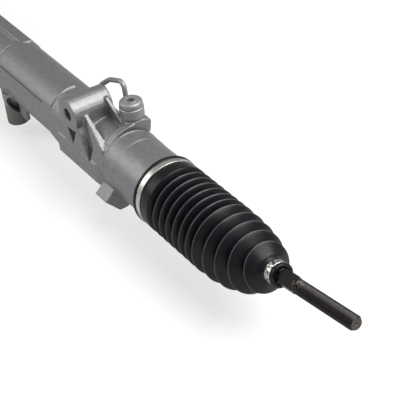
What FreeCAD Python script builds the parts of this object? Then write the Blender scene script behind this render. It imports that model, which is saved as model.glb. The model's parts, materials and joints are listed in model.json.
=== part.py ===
import FreeCAD, Part
import math
import os

# Hydraulic rack and pinion steering gear, right and left tie rods included.
# X runs along the rack, +X toward the right-hand tie rod, +Z is up, -Y is the side of the yoke.
# Every piece is laid out from the rack axis (y = z = 0) and the mouth of the right-hand bellows
# (x = 0), and moved at the end so that the origin is the centre of the right mounting bore.
# The left end repeats the right one, turned half round about the middle of the housing.

V = FreeCAD.Vector
X_AXIS = V(1, 0, 0)
Y_AXIS = V(0, 1, 0)
Z_AXIS = V(0, 0, 1)

# General clearances
RUN_FIT = 0.05          # radial gap of a shaft or piston that runs in its bore
PRESS_GAP = 0.02        # radial gap drawn at a pressed or screwed seat
SOFT_GAP = 0.3          # gap of rubber next to a moving piece
BALL_FIT = 0.10         # radial gap of each spherical seat

# Rack bar and its travel
HOUSING_LENGTH = 700.0  # mouth to mouth of the two bellows
TRAVEL = 70.0           # rack travel to each side
RACK_R = 14.0
BALL_REACH = 105.0      # bellows mouth to ball centre, straight ahead
SOCKET_SEAT = 30.0      # rack end face to ball centre
STUD_R = 8.0
STUD_LENGTH = 22.0
MID_X = -HOUSING_LENGTH / 2
RACK_END = BALL_REACH - SOCKET_SEAT

# Pinion and rack teeth
PINION_REACH = 115.0    # left bellows mouth to the pinion axis
PINION_X = PINION_REACH - HOUSING_LENGTH
PINION_TEETH = 7
MODULE = 2.0            # in the normal plane
PRESSURE_DEG = 20.0
HELIX_DEG = 15.0
PROFILE_SHIFT = 0.6
PINION_TIP_R = 9.9
TOOTH_CLEAR = 0.45      # tip to root
BACKLASH = 0.12
PINION_FACE = 30.0      # length of the toothed part
PINION_SECTIONS = 7
FLANK_POINTS = 5
TOOTH_PLANE = 10.0      # rack axis to the tips of the rack teeth
TEETH_MARGIN = 18.0     # rack teeth beyond the travel, each way

HELIX = math.radians(HELIX_DEG)
PITCH_R = MODULE * PINION_TEETH / (2 * math.cos(HELIX))
ALPHA_T = math.atan(math.tan(math.radians(PRESSURE_DEG)) / math.cos(HELIX))
BASE_R = PITCH_R * math.cos(ALPHA_T)
PINION_ROOT_R = PITCH_R - (1.25 - PROFILE_SHIFT) * MODULE
RACK_TIP_R = PINION_ROOT_R + TOOTH_CLEAR
RACK_ROOT_R = PINION_TIP_R + TOOTH_CLEAR
PINION_Y = TOOTH_PLANE + RACK_TIP_R
TOOTH_PITCH = math.pi * MODULE / math.cos(HELIX)
TOOTH_THICK = TOOTH_PITCH / 2 + 2 * PROFILE_SHIFT * MODULE * math.tan(ALPHA_T)

# Cast housing
BARREL_R = 36.0
NECK_R = 38.5
NECK_LENGTH = 73.0
COLLAR_R = 39.3         # rounded rim at the root of the neck
COLLAR_WIDTH = 2.2
NECK_STEP = 0.6         # small step turned on the neck
NECK_STEP_LENGTH = 52.0
SPIGOT_R = 38.0         # end that carries the bellows
SPIGOT_LENGTH = 14.0
SPIGOT_SHOULDER = 2.0
RECESS_R = 27.0         # open end that the ball socket enters
RECESS_DEPTH = 11.0
RACK_HOLE_R = 15.5
SADDLE_WIDTH = 10.0
SADDLE_OFFSET = 7.0     # end of the chamber to the face of the port saddle

# Hydraulic cylinder
TUBE_R = 25.0
PISTON_R = 21.0
CHAMBER_END = -84.0
CHAMBER_START = -284.0
PISTON_X = -180.0
PISTON_WIDTH = 18.0
SNAP_WIDTH = 1.6        # snap rings of the piston, and how deep they sit in the rack
SNAP_DEPTH = 1.0
GLAND_FLANGE_R = 24.0
GLAND_FLANGE = 3.0
INNER_GLAND = 16.0
RING_WIDTH = 1.8
SEAL_LENGTH = 8.0       # lip seal of the rack, along and across
SEAL_DEPTH = 4.0
PISTON_GROOVE = 6.0
PISTON_GROOVE_DEPTH = 3.0
PORT_HOLE_R = 4.0

# Mounting bosses: bolts pass across the rack, along Y
MOUNT_X = -141.5
MOUNT_Z = 46.0
MOUNT_NEAR_Y = -38.0
MOUNT_LENGTH = 51.0
MOUNT_NEAR_R = 20.5
MOUNT_FAR_R = 18.6
MOUNT_BORE_R = 7.8
LEFT_MOUNT_REACH = 48.5  # left bellows mouth to the second mounting bore
LEFT_MOUNT_X = LEFT_MOUNT_REACH - HOUSING_LENGTH
RIB_THICK = 4.5
RIGHT_RIB_REACH = 61.5
LEFT_RIB_REACH = 38.0
RIB_DROP = 26.0         # fall of each rib from the boss to its toe
RIB_LOW = -4.0
RIB_SPREAD_Y = -34.0    # foot of the near rib, spread down the side of the barrel
PEDESTAL_NEAR = -26.0
PEDESTAL_FAR = 9.0
PEDESTAL_HALF = 18.0    # half width of the foot under the boss
FLANK_R = 16.0          # hollow of each flank, where the foot meets the barrel
WEB_PROUD = 1.0         # side web in front of the barrel
POCKET_DEPTH = 9.0
RIB_NEAR_Y = -26.0
RIB_FAR_Y = 4.0
MOUNT_Y = MOUNT_NEAR_Y + MOUNT_LENGTH / 2

# Cylinder line fitting on the right: banjo eye, domed bolt and pipe
PORT_X = -91.0
PORT_Y = 19.0
PORT_Z = 45.0
PORT_BOSS_R = 14.0
EYE_R = 14.2
EYE_HEIGHT = 9.0
CAP_R = 13.3
CAP_HEIGHT = 11.0
CAP_TOP_R = 8.5
CAP_DOME = 4.5          # height of the rounded edge of the cap
BANJO_STEM_R = 6.0
BANJO_STEM = 11.0
HEX_SOCKET = 8.0
WASHER = 1.2
PIPE_R = 3.0
SOCKET_DEPTH = 3.0
RIGHT_LINE_TURN = 165.0   # direction in which the line leaves its eye, about Z
LEFT_LINE_TURN = 90.0
LEFT_PORT_X = -276.0
LEFT_PORT_Y = 12.0
LEFT_PORT_Z = -43.0

# Routes of the two cylinder lines
LINE_SIDE = BARREL_R + 6.5  # run of the right line behind the rack axis
LINE_LOW = -10.0
HOOP_Y = 24.5           # the right line hoops over behind the mounting boss
HOOP_Z = PORT_Z + 32.5
EYE_LEAD = 9.0          # straight pipe out of each eye
TIGHT_BEND = 6.0
WIDE_BEND = 12.0
HOOP_BEND = 40.0
RIGHT_LOOP_Y = 68.0     # farthest reach of each line at the valve
LEFT_LOOP_Y = 80.0
LEFT_LINE_Y = 50.0
LEFT_LINE_LOW = -29.0

# Lower features of the casting
STRIP_START = -180.0
STRIP_END = -78.0
LUG_START = -76.0
LUG_END = -52.0
FOOT_X = -321.0
FOOT_Y = -27.0
FOOT_Z = -54.0
FOOT_R = 14.0
FOOT_THREAD_R = 5.1
FOOT_THREAD_DEPTH = 20.0
PAD_START = -345.0
PAD_END = -205.0
PAD_HEIGHT = 2.0
PAD_EDGE = (-30.0, 22.0)   # lower edge of the pad, across and up
PAD_GROOVE_R = 1.6
GROOVE_STOP = -226.0
RAIL_EDGE = 6.0
RAIL_HEIGHT = 1.5       # flat top of the rail above the barrel

# Pinion tower and yoke boss
TOWER_R = 25.0
TOWER_BOTTOM = -60.0
TOWER_TOP = 38.0
TOWER_FLANGE_R = 30.0
TOWER_FLANGE = 9.0
BOLT_CIRCLE_R = 31.0
EAR_R = 8.5
BOLT_R = 4.0
BOLT_HEAD_R = 6.5
BOLT_HEAD = 8.0
BOLT_DEPTH = 20.0
BOLT_ANGLES = (45.0, 135.0, 225.0, 315.0)
PINION_CAVITY_R = 12.0
LOWER_BEARING_R = 17.5
BEARING_WIDTH = 11.0
LOWER_BEARING_Z = -38.0
SHAFT_R = 7.5
NUT_THREAD_R = 7.0
PINION_NUT = 8.0
PINION_NUT_FLATS = 20.0
JOURNAL_R = 9.0
BUSH_R = 14.0
BUSH_Z = 18.0
BUSH_LENGTH = 16.0
CAP_THREAD_R = 19.0
CAP_DEPTH = 10.0
YOKE_BOSS_R = 24.0
YOKE_BOSS_END = -58.0
YOKE_R = 17.0
YOKE_FACE = -9.0
YOKE_BACK = -40.0
LINER_THICK = 1.0
PLUG_INNER = -44.0
PLUG_OUTER = -68.0
LOCK_NUT_FLATS = 48.0
LOCK_NUT = 7.0

# Valve housing and rotary valve
VALVE_R = 26.0
VALVE_TOP = 112.0
VALVE_FLANGE = 8.0
SLEEVE_R = 19.0
SLEEVE_START = 46.0
SLEEVE_END = 88.0
SLEEVE_GROOVES = 7
RING_GROOVE = (2.0, 1.5)   # width and depth, for a sealing ring
OIL_GROOVE = (4.5, 2.0)
SPOOL_R = 13.0
HEAD_R = 12.0
HEAD_START = 36.0
INPUT_JOURNAL_R = 8.0
TORSION_R = 3.2
TORSION_RELIEF = 0.9    # the thin middle lies this far inside the ends
TORSION_HEAD = 10.0
TORSION_START = 2.0
UPPER_BEARING_R = 17.0
UPPER_BEARING_Z = 92.0
SEAL_Z = 103.0
SEAL_WIDTH = 8.0
COVER_HEIGHT = 8.0
COVER_WALL = 2.0
SPLINE_R = 8.6
SPLINE_START = 122.0
INPUT_END = 148.0
SPLINE_TEETH = 24
SPLINE_DEPTH = 0.9
LINE_A_Z = 54.0
LINE_B_Z = 80.0
PRESSURE_Z = 64.0
RETURN_Z = 91.0
LINE_REACH = 34.0       # pinion axis to the face of the line bosses
HOSE_REACH = 38.0       # pinion axis to the face of the hose bosses
HOSE_THREAD_R = 8.0
LINE_THREAD_R = 6.0
HOSE_BOSS_R = 12.5
LINE_BOSS_R = 10.0
NUT_FLATS = 15.0
NUT_LENGTH = 15.0

# Ball joints and tie rods
ROD_TILT_DEG = 8.5      # rods rise toward the wheels
BALL_R = 14.0
SEAT_WALL = 1.8
SOCKET_R = 19.5
SOCKET_LIP = 9.0        # ball centre to the rolled edge
NECK_WAIST_R = 7.5
ROD_R = 9.0
ROD_GROOVE_R = 8.2
WRENCH_FLATS = 16.5
WRENCH_R = 9.6
FLAT_MARGIN = 0.6       # wrench flats stop this short of each end
THREAD_R = 8.0
ROD_WAIST_END = 40.0
ROD_FULL = 58.0
GROOVE_START = 94.0
GROOVE_END = 113.0
WRENCH_END = 128.0
ROD_TIP = 227.0
TIP_CHAMFER = 1.6
CENTRE_DRILL_R = 1.6
TILT = math.radians(ROD_TILT_DEG)

# Bellows and clamps
BELLOWS_R = 41.5
MOUTH_R = 42.0
MOUTH_LIP = 2.6
MOUTH_MARGIN = 0.6      # lip short of the mouth plane
SHOULDER_R = 41.2       # plain shoulder between the cuff and the first crest
CUFF_R = 40.3
CUFF_LENGTH = 14.0
WALL = 1.7
FIRST_CREST = 27.0
CREST_PITCH = 12.47
CRESTS = 8
ROOT_DEPTH = 10.0
ROOT_SHARE = 0.6        # place of each root, as a share of the way to the next crest
TAPER_LENGTH = 100.0
BELLS = 4
BELL_DEPTH = 8.0
BELL_SHARE = 0.76
SMALL_CUFF_R = 11.4
SMALL_CUFF = 22.0
BEAD_R = 13.4           # end bead of the small cuff, beyond its band
BEAD_START = 107.3
BEAD_WIDTH = 5.4
BAND_THICK = 1.2
BAND_START = 3.2
BAND_WIDTH = 9.2
SMALL_BAND_START = 98.0
SMALL_BAND_WIDTH = 9.0
SMALL_BAND_THICK = 1.8


def rod_x(radius, x0, x1, y=0.0, z=0.0):
    """Solid cylinder along X between two stations."""
    return Part.makeCylinder(radius, x1 - x0, V(x0, y, z), X_AXIS)


def rod_z(radius, z0, z1, x=PINION_X, y=PINION_Y):
    """Solid cylinder along Z between two heights, on the pinion axis unless told otherwise."""
    return Part.makeCylinder(radius, z1 - z0, V(x, y, z0), Z_AXIS)


def rod_y(radius, y0, y1, x, z):
    """Solid cylinder along Y between two stations, y1 the larger."""
    return Part.makeCylinder(radius, y1 - y0, V(x, y0, z), Y_AXIS)


def box(x0, x1, y0, y1, z0, z1):
    """Solid block between two corners."""
    return Part.makeBox(x1 - x0, y1 - y0, z1 - z0, V(x0, y0, z0))


def revolve(profile, centre, axis, side):
    """Solid of revolution of (station, radius) pairs along an axis through a centre."""
    points = [centre + axis * station + side * radius for station, radius in profile]
    wire = Part.makePolygon(points + [points[0]])
    return Part.Face(wire).revolve(centre, axis, 360)


def revolve_x(profile, x=0.0):
    """Solid of revolution about the rack axis."""
    return revolve(profile, V(x, 0, 0), X_AXIS, Z_AXIS)


def revolve_z(profile):
    """Solid of revolution about the pinion axis."""
    return revolve(profile, V(PINION_X, PINION_Y, 0), Z_AXIS, X_AXIS)


def ring_x(inner, outer, x0, x1):
    """Plain ring about the rack axis."""
    return revolve_x([(x0, inner), (x0, outer), (x1, outer), (x1, inner)])


def ring_z(inner, outer, z0, z1):
    """Plain ring about the pinion axis."""
    return revolve_z([(z0, inner), (z0, outer), (z1, outer), (z1, inner)])


def prism(points, direction):
    """Solid swept from a closed outline along a vector."""
    return Part.Face(Part.makePolygon(points + [points[0]])).extrude(direction)


def outline(edges, direction):
    """Prism of a flat outline made of lines and arcs."""
    return Part.Face(Part.Wire(edges)).extrude(direction)


def hexagon(flats, base, axis, side, length):
    """Hexagonal prism with a given width across flats."""
    corner = flats / math.sqrt(3)
    other = axis.cross(side)
    points = []
    for step in range(6):
        angle = math.radians(60 * step)
        points.append(base + side * (corner * math.cos(angle)) + other * (corner * math.sin(angle)))
    return prism(points, axis * length)


def union(solid, *others):
    """One solid from pieces that overlap, joined one after the other."""
    for other in others:
        solid = solid.fuse(other)
    return solid


def carve(solid, cutters):
    """The solid without anything that the cutters cover."""
    for cutter in cutters:
        solid = solid.cut(cutter)
    return solid


def turned_round(shape):
    """The same piece at the left end, turned half round about the middle of the housing."""
    other = shape.copy()
    other.rotate(V(MID_X, 0, 0), Z_AXIS, 180)
    return other


def pipe(start, corners, end):
    """Round pipe along straight runs joined by tangent bends, from (corner, bend radius) pairs."""
    pieces = []
    places = [start] + [corner for corner, bend in corners] + [end]
    here = start
    for index, (corner, bend) in enumerate(corners):
        inward = (places[index] - corner).normalize()
        onward = (places[index + 2] - corner).normalize()
        half = inward.getAngle(onward) / 2
        first = corner + inward * (bend / math.tan(half))
        centre = corner + (inward + onward).normalize() * (bend / math.sin(half))
        pieces.append(Part.makeCylinder(PIPE_R, (first - here).Length, here, inward * -1))
        section = Part.Face(Part.Wire([Part.makeCircle(PIPE_R, first, inward * -1)]))
        pieces.append(section.revolve(centre, onward.cross(inward), 180 - math.degrees(2 * half)))
        here = corner + onward * (bend / math.tan(half))
    pieces.append(Part.makeCylinder(PIPE_R, (end - here).Length, here, end - here))
    return union(*pieces)


# Cast housing

def mount_boss(reach):
    """Cross-bored boss on its pedestal, with two thin ribs that reach outward along the casting."""
    near = V(MOUNT_X, MOUNT_NEAR_Y, MOUNT_Z)
    boss = Part.makeCone(MOUNT_NEAR_R, MOUNT_FAR_R, MOUNT_LENGTH, near, Y_AXIS)
    ribs = []
    for y, lift, spread in ((RIB_NEAR_Y, 0.0, RIB_SPREAD_Y), (RIB_FAR_Y, 9.0, RIB_FAR_Y)):
        top = V(MOUNT_X + PEDESTAL_HALF, y, MOUNT_Z + 4 + lift)
        toe = V(MOUNT_X + reach, y, top.z - RIB_DROP)
        side = prism([top, toe, V(toe.x, y, RIB_LOW), V(MOUNT_X, y, RIB_LOW), V(MOUNT_X, y, top.z)],
                     V(0, RIB_THICK + y - spread, 0))
        side.translate(V(0, spread - y, 0))
        far = y + RIB_THICK
        across = prism([V(MOUNT_X, y, top.z), V(MOUNT_X, far, top.z), V(MOUNT_X, far, RIB_LOW),
                        V(MOUNT_X, spread, RIB_LOW), V(MOUNT_X, spread, RIB_LOW + 14)], V(reach, 0, 0))
        ribs.append(side.common(across))
    return union(boss, pedestal(), *ribs)


def pedestal():
    """Foot of the boss, both flanks hollowed in a round where they meet the barrel."""
    wide = PEDESTAL_HALF + FLANK_R
    low = MOUNT_Z - FLANK_R - 4
    block = box(MOUNT_X - wide, MOUNT_X + wide, PEDESTAL_NEAR, PEDESTAL_FAR, 0, low + FLANK_R)
    hollows = []
    for sign in (-1, 1):
        centre = MOUNT_X + sign * wide
        hollows.append(rod_y(FLANK_R, PEDESTAL_NEAR - 1, PEDESTAL_FAR + 1, centre, low + FLANK_R))
    return carve(block, hollows)


def side_web():
    """Side wall from the mounting boss down to the lower strip, with a cored pocket each side of its web."""
    y = -BARREL_R - WEB_PROUD
    wall = prism([V(MOUNT_X - 18, y, -20), V(MOUNT_X - 18, y, 30), V(MOUNT_X - 12, y, MOUNT_Z - 5),
                  V(MOUNT_X + 16, y, MOUNT_Z - 8), V(MOUNT_X + 22, y, 28), V(MOUNT_X + 34, y, 0),
                  V(MOUNT_X + 34, y, -20)], V(0, 14, 0))
    left = prism([V(MOUNT_X - 9, y - 1, 27), V(MOUNT_X + 12, y - 1, 28), V(MOUNT_X - 1, y - 1, 4)],
                 V(0, POCKET_DEPTH + 1, 0))
    right = prism([V(MOUNT_X + 19, y - 1, 38), V(MOUNT_X + 29, y - 1, 34), V(MOUNT_X + 41, y - 1, 17),
                   V(MOUNT_X + 38, y - 1, -4), V(MOUNT_X + 33, y - 1, 2), V(MOUNT_X + 23, y - 1, 28)],
                  V(0, POCKET_DEPTH + 1, 0))
    return wall, [left, right]


def lower_strip():
    """Machined strip that runs along the lower near edge of the cylinder."""
    strip = prism([V(STRIP_START, -32, 8), V(STRIP_START, -38.5, 2), V(STRIP_START, -38.5, -22),
                   V(STRIP_START, -28, -33), V(STRIP_START, -10, -33), V(STRIP_START, 0, 0)],
                  V(STRIP_END - STRIP_START, 0, 0))
    taper = prism([V(STRIP_END - 18, -40, -40), V(STRIP_END + 1, -32, -40), V(STRIP_END + 1, -40, -40)],
                  V(0, 0, 2 * BARREL_R))
    return strip.cut(taper)


def lug():
    """Chunky lug under the neck, its outer face at 45 degrees."""
    return prism([V(LUG_START, -28, -2), V(LUG_START, -37.3, -11), V(LUG_START, -46.6, -20.4),
                  V(LUG_START, -50.2, -22.5), V(LUG_START, -33, -41.5), V(LUG_START, -22, -41),
                  V(LUG_START, 0, -20)], V(LUG_END - LUG_START, 0, 0))


def port_saddle():
    """Raised collar in front of the mounting boss, rising in a round to the flat port boss."""
    x = CHAMBER_END + SADDLE_OFFSET
    rise = Part.Arc(V(x, -26, 25), V(x, -8, 38.6), V(x, 15, 43)).toShape()
    corner = Part.Arc(V(x, 30, 43), V(x, 33.4, 41.5), V(x, 34.5, 38)).toShape()
    straight = [(V(x, 15, 43), V(x, 30, 43)), (V(x, 34.5, 38), V(x, 33, 28)), (V(x, 33, 28), V(x, 28, 20)),
                (V(x, 28, 20), V(x, 0, 0)), (V(x, 0, 0), V(x, -26, 25))]
    edges = [rise, Part.makeLine(*straight[0]), corner] + [Part.makeLine(*pair) for pair in straight[1:]]
    plate = outline(edges, V(-SADDLE_WIDTH, 0, 0))
    boss = rod_z(PORT_BOSS_R, 0, PORT_Z, PORT_X, PORT_Y)
    return union(plate, boss)


def neck():
    """Right-hand neck and the spigot for the bellows."""
    collar = -NECK_LENGTH - 1.5
    return revolve_x([(collar, 0), (collar, COLLAR_R), (collar + COLLAR_WIDTH, COLLAR_R),
                      (collar + COLLAR_WIDTH + 0.8, NECK_R),
                      (-NECK_STEP_LENGTH, NECK_R), (-NECK_STEP_LENGTH, NECK_R - NECK_STEP),
                      (-SPIGOT_SHOULDER, NECK_R - NECK_STEP), (-SPIGOT_SHOULDER, SPIGOT_R - SOFT_GAP),
                      (SPIGOT_LENGTH - 1, SPIGOT_R - SOFT_GAP), (SPIGOT_LENGTH, SPIGOT_R - 1.3),
                      (SPIGOT_LENGTH, 0)])


def rack_rail():
    """Flat-topped stretch of the casting over the toothed part of the rack."""
    length = PAD_START - PINION_X
    top = BARREL_R + RAIL_HEIGHT
    rail = prism([V(PINION_X, RAIL_EDGE, 0), V(PINION_X, RAIL_EDGE, top), V(PINION_X, 22, top - 4),
                  V(PINION_X, 31, BARREL_R - 16), V(PINION_X, 31, 0)], V(length, 0, 0))
    keel = -BARREL_R - 2
    web = prism([V(PINION_X, -31, -18), V(PINION_X, -20, keel), V(PINION_X, 20, keel),
                 V(PINION_X, 31, -18)], V(length, 0, 0))
    return Part.makeCompound([rail, web])


def cylinder_pad():
    """Slightly raised pad along the upper near side of the cylinder."""
    tube = rod_x(BARREL_R + PAD_HEIGHT, PAD_START, PAD_END).cut(rod_x(BARREL_R - 2, PAD_START, PAD_END))
    across, up = PAD_EDGE
    far = 2.0
    high = BARREL_R * far
    sector = prism([V(PAD_START, 0, 0), V(PAD_START, across * far, up * far), V(PAD_START, across, high),
                    V(PAD_START, 0.4 * BARREL_R, high)], V(PAD_END - PAD_START, 0, 0))
    return tube.common(sector)


def cast_grooves():
    """Narrow grooves under the lower edge of the pad and along the near edge of the rail."""
    across, up = PAD_EDGE
    out = (BARREL_R + 0.5) / math.hypot(across, up)
    return [rod_x(PAD_GROOVE_R, PAD_START, GROOVE_STOP, across * out, up * out - PAD_GROOVE_R),
            rod_x(PAD_GROOVE_R - 0.4, PAD_START - 60, PAD_START - 12, RAIL_EDGE, BARREL_R)]


def foot_boss():
    """Threaded boss that hangs below the near side of the casting."""
    boss = rod_z(FOOT_R, FOOT_Z, -10, FOOT_X, FOOT_Y)
    ribs = [box(FOOT_X - 34, FOOT_X + 34, FOOT_Y - 3, FOOT_Y + 3, -38, -20),
            box(FOOT_X - 4, FOOT_X + 4, FOOT_Y, 14, -46, -20)]
    return union(boss, *ribs)


def tower():
    """Pinion tower with its bolted top flange, and the yoke boss on the near side."""
    body = rod_z(TOWER_R, TOWER_BOTTOM, TOWER_TOP)
    flange = rod_z(TOWER_FLANGE_R, TOWER_TOP - TOWER_FLANGE, TOWER_TOP)
    yoke = rod_y(YOKE_BOSS_R, YOKE_BOSS_END, 0, PINION_X, 0)
    pieces = [flange, yoke]
    for x, y in bolt_places():
        pieces.append(rod_z(EAR_R, TOWER_TOP - BOLT_DEPTH - 6, TOWER_TOP, x, y))
    return union(body, *pieces)


def bolt_places():
    """Centres of the valve housing bolts."""
    places = []
    for angle in BOLT_ANGLES:
        turn = math.radians(angle)
        places.append((PINION_X + BOLT_CIRCLE_R * math.cos(turn), PINION_Y + BOLT_CIRCLE_R * math.sin(turn)))
    return places


def port_drilling(x, y, face, up):
    """Threaded mouth and oil hole of a cylinder port, from the boss face inward."""
    threaded = BANJO_STEM_R + PRESS_GAP
    depth = BANJO_STEM + 3
    deep = abs(face) - RACK_R
    return revolve([(1, 0), (1, threaded), (-depth, threaded), (-depth, PORT_HOLE_R), (-deep, PORT_HOLE_R),
                    (-deep, 0)], V(x, y, face), Z_AXIS * up, X_AXIS)


def left_port_boss():
    """Boss for the second cylinder line, under the casting."""
    return rod_z(PORT_BOSS_R, LEFT_PORT_Z, -10, LEFT_PORT_X, LEFT_PORT_Y)


def rack_housing():
    """The one-piece casting with every bore that its contents need."""
    barrel = rod_x(BARREL_R, -HOUSING_LENGTH + NECK_LENGTH, -NECK_LENGTH)
    between = (MOUNT_X + LEFT_MOUNT_X) / 2
    web, pockets = side_web()
    left_mount = mount_boss(LEFT_RIB_REACH).mirror(V(between, 0, 0), X_AXIS)
    solid = union(barrel, neck(), turned_round(neck()), mount_boss(RIGHT_RIB_REACH), left_mount, web,
                  lower_strip(), lug(), port_saddle(), rack_rail(), cylinder_pad(), foot_boss(), tower(),
                  left_port_boss())
    outer = HOUSING_LENGTH + SPIGOT_LENGTH + 1
    cuts = [rod_x(RACK_HOLE_R, -outer, SPIGOT_LENGTH + 1),
            rod_x(TUBE_R + PRESS_GAP, CHAMBER_START, SPIGOT_LENGTH),
            rod_x(PISTON_R + PRESS_GAP, CHAMBER_START - INNER_GLAND, CHAMBER_START + 1),
            rod_x(RECESS_R, SPIGOT_LENGTH - RECESS_DEPTH - RING_WIDTH - 4, SPIGOT_LENGTH + 1),
            rod_x(RECESS_R + 1.5, 0, RING_WIDTH),
            rod_x(RECESS_R, -outer, -HOUSING_LENGTH - 3)]
    for x in (MOUNT_X, LEFT_MOUNT_X):
        cuts.append(rod_y(MOUNT_BORE_R, MOUNT_NEAR_Y - 1, MOUNT_NEAR_Y + MOUNT_LENGTH + 1, x, MOUNT_Z))
    cuts.append(port_drilling(PORT_X, PORT_Y, PORT_Z, 1))
    cuts.append(port_drilling(LEFT_PORT_X, LEFT_PORT_Y, LEFT_PORT_Z, -1))
    cuts.append(rod_z(FOOT_THREAD_R, FOOT_Z - 1, FOOT_Z + FOOT_THREAD_DEPTH, FOOT_X, FOOT_Y))
    cuts.append(rod_z(PINION_CAVITY_R, LOWER_BEARING_Z + 1, BUSH_Z + 1))
    cuts.append(rod_z(LOWER_BEARING_R + PRESS_GAP, TOWER_BOTTOM, LOWER_BEARING_Z + BEARING_WIDTH))
    cuts.append(rod_z(CAP_THREAD_R + PRESS_GAP, TOWER_BOTTOM - 1, TOWER_BOTTOM + CAP_DEPTH))
    cuts.append(rod_z(BUSH_R + PRESS_GAP, BUSH_Z, TOWER_TOP + 1))
    cuts.append(rod_y(YOKE_R + RUN_FIT, YOKE_BOSS_END - 1, 0, PINION_X, 0))
    for x, y in bolt_places():
        cuts.append(rod_z(BOLT_R + PRESS_GAP, TOWER_TOP - BOLT_DEPTH, TOWER_TOP + 1, x, y))
    return carve(solid, cuts + pockets + cast_grooves())


# Hydraulic cylinder

def cylinder_tube():
    """Steel liner that the piston runs in, with its two port holes."""
    tube = ring_x(PISTON_R, TUBE_R, CHAMBER_START, -GLAND_FLANGE)
    right = rod_z(PORT_HOLE_R, 0, TUBE_R + 5, PORT_X, PORT_Y)
    left = rod_z(PORT_HOLE_R, -TUBE_R - 5, 0, LEFT_PORT_X, LEFT_PORT_Y)
    return carve(tube, [right, left])


def end_gland():
    """Long bearing cartridge that closes the outer end of the chamber."""
    bore = RACK_R + RUN_FIT
    return revolve_x([(CHAMBER_END, bore + SEAL_DEPTH), (CHAMBER_END, PISTON_R - PRESS_GAP),
                      (-GLAND_FLANGE, PISTON_R - PRESS_GAP), (-GLAND_FLANGE, GLAND_FLANGE_R),
                      (0, GLAND_FLANGE_R), (0, bore), (CHAMBER_END + SEAL_LENGTH, bore),
                      (CHAMBER_END + SEAL_LENGTH, bore + SEAL_DEPTH)])


def end_seal():
    """Lip seal in the inner end of the cartridge."""
    bore = RACK_R + RUN_FIT
    return ring_x(bore, bore + SEAL_DEPTH - PRESS_GAP, CHAMBER_END + 0.5, CHAMBER_END + SEAL_LENGTH)


def gland_ring():
    """Snap ring that holds the cartridge in the housing."""
    return ring_x(RECESS_R - 5, RECESS_R + 1.5 - PRESS_GAP, 0, RING_WIDTH)


def inner_gland():
    """Seal carrier at the inner end of the chamber."""
    bore = RACK_R + RUN_FIT
    start = CHAMBER_START - INNER_GLAND
    return revolve_x([(start, bore), (start, PISTON_R), (CHAMBER_START, PISTON_R),
                      (CHAMBER_START, bore + SEAL_DEPTH), (CHAMBER_START - SEAL_LENGTH, bore + SEAL_DEPTH),
                      (CHAMBER_START - SEAL_LENGTH, bore)])


def inner_seal():
    """Lip seal in the inner carrier."""
    bore = RACK_R + RUN_FIT
    return ring_x(bore, bore + SEAL_DEPTH - PRESS_GAP, CHAMBER_START - SEAL_LENGTH, CHAMBER_START - 0.5)


def rack_piston():
    """Piston on the rack, with the groove of its ring."""
    half = PISTON_WIDTH / 2
    groove = PISTON_GROOVE / 2
    outer = PISTON_R - 2 * RUN_FIT
    floor = outer - PISTON_GROOVE_DEPTH
    inner = RACK_R + PRESS_GAP
    return revolve_x([(-half, inner), (-half, outer), (-groove, outer), (-groove, floor), (groove, floor),
                      (groove, outer), (half, outer), (half, inner)], PISTON_X)


def piston_ring():
    """Sealing ring of the piston."""
    half = PISTON_GROOVE / 2 - 0.1
    floor = PISTON_R - 2 * RUN_FIT - PISTON_GROOVE_DEPTH
    return ring_x(floor + PRESS_GAP, PISTON_R - RUN_FIT, PISTON_X - half, PISTON_X + half)


def piston_snap_rings():
    """Two snap rings that hold the piston on the rack."""
    rings = []
    for middle in snap_ring_places():
        start = middle - SNAP_WIDTH / 2
        rings.append(ring_x(RACK_R - SNAP_DEPTH, RACK_R + 2, start, start + SNAP_WIDTH))
    return Part.makeCompound(rings)


def snap_ring_places():
    """Middle of each snap ring, hard against its side of the piston."""
    return [PISTON_X + side * (PISTON_WIDTH + SNAP_WIDTH) / 2 for side in (-1, 1)]


# Rack bar and pinion

def rack_bar():
    """Round bar with slanted teeth facing the pinion and a threaded hole in each end."""
    bar = revolve_x([(-HOUSING_LENGTH - RACK_END, 0), (-HOUSING_LENGTH - RACK_END, RACK_R - 1.5),
                     (-HOUSING_LENGTH - RACK_END + 1.5, RACK_R), (RACK_END - 1.5, RACK_R),
                     (RACK_END, RACK_R - 1.5), (RACK_END, 0)])
    slope = math.tan(HELIX)
    reach = RACK_R + 4
    drop = V(2 * reach * slope, 0, 2 * reach)
    count = int((TRAVEL + TEETH_MARGIN) / TOOTH_PITCH)
    side = math.tan(ALPHA_T)
    pitch_y = PINION_Y - PITCH_R
    root_y = PINION_Y - RACK_ROOT_R
    top_y = RACK_R + 2
    half = (TOOTH_THICK + BACKLASH) / 2
    low = half - (pitch_y - root_y) * side
    high = half + (top_y - pitch_y) * side
    cuts = []
    for step in range(-count, count + 1):
        x = PINION_X + step * TOOTH_PITCH - reach * slope
        cuts.append(prism([V(x - low, root_y, -reach), V(x + low, root_y, -reach),
                           V(x + high, top_y, -reach), V(x - high, top_y, -reach)], drop))
    flat = (count + 0.9) * TOOTH_PITCH
    cuts.append(box(PINION_X - flat, PINION_X + flat, TOOTH_PLANE, RACK_R + 3, -reach, reach))
    for middle in snap_ring_places():
        half_groove = SNAP_WIDTH / 2 + RUN_FIT
        cuts.append(ring_x(RACK_R - SNAP_DEPTH - PRESS_GAP, RACK_R + 1, middle - half_groove,
                           middle + half_groove))
    depth = STUD_LENGTH + 3
    cuts.append(rod_x(STUD_R, RACK_END - depth, RACK_END + 1))
    cuts.append(rod_x(STUD_R, -HOUSING_LENGTH - RACK_END - 1, -HOUSING_LENGTH - RACK_END + depth))
    return carve(bar, cuts)


def involute(radius):
    """Polar angle of the involute at a radius."""
    pressure = math.acos(BASE_R / radius)
    return math.tan(pressure) - pressure


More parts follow.
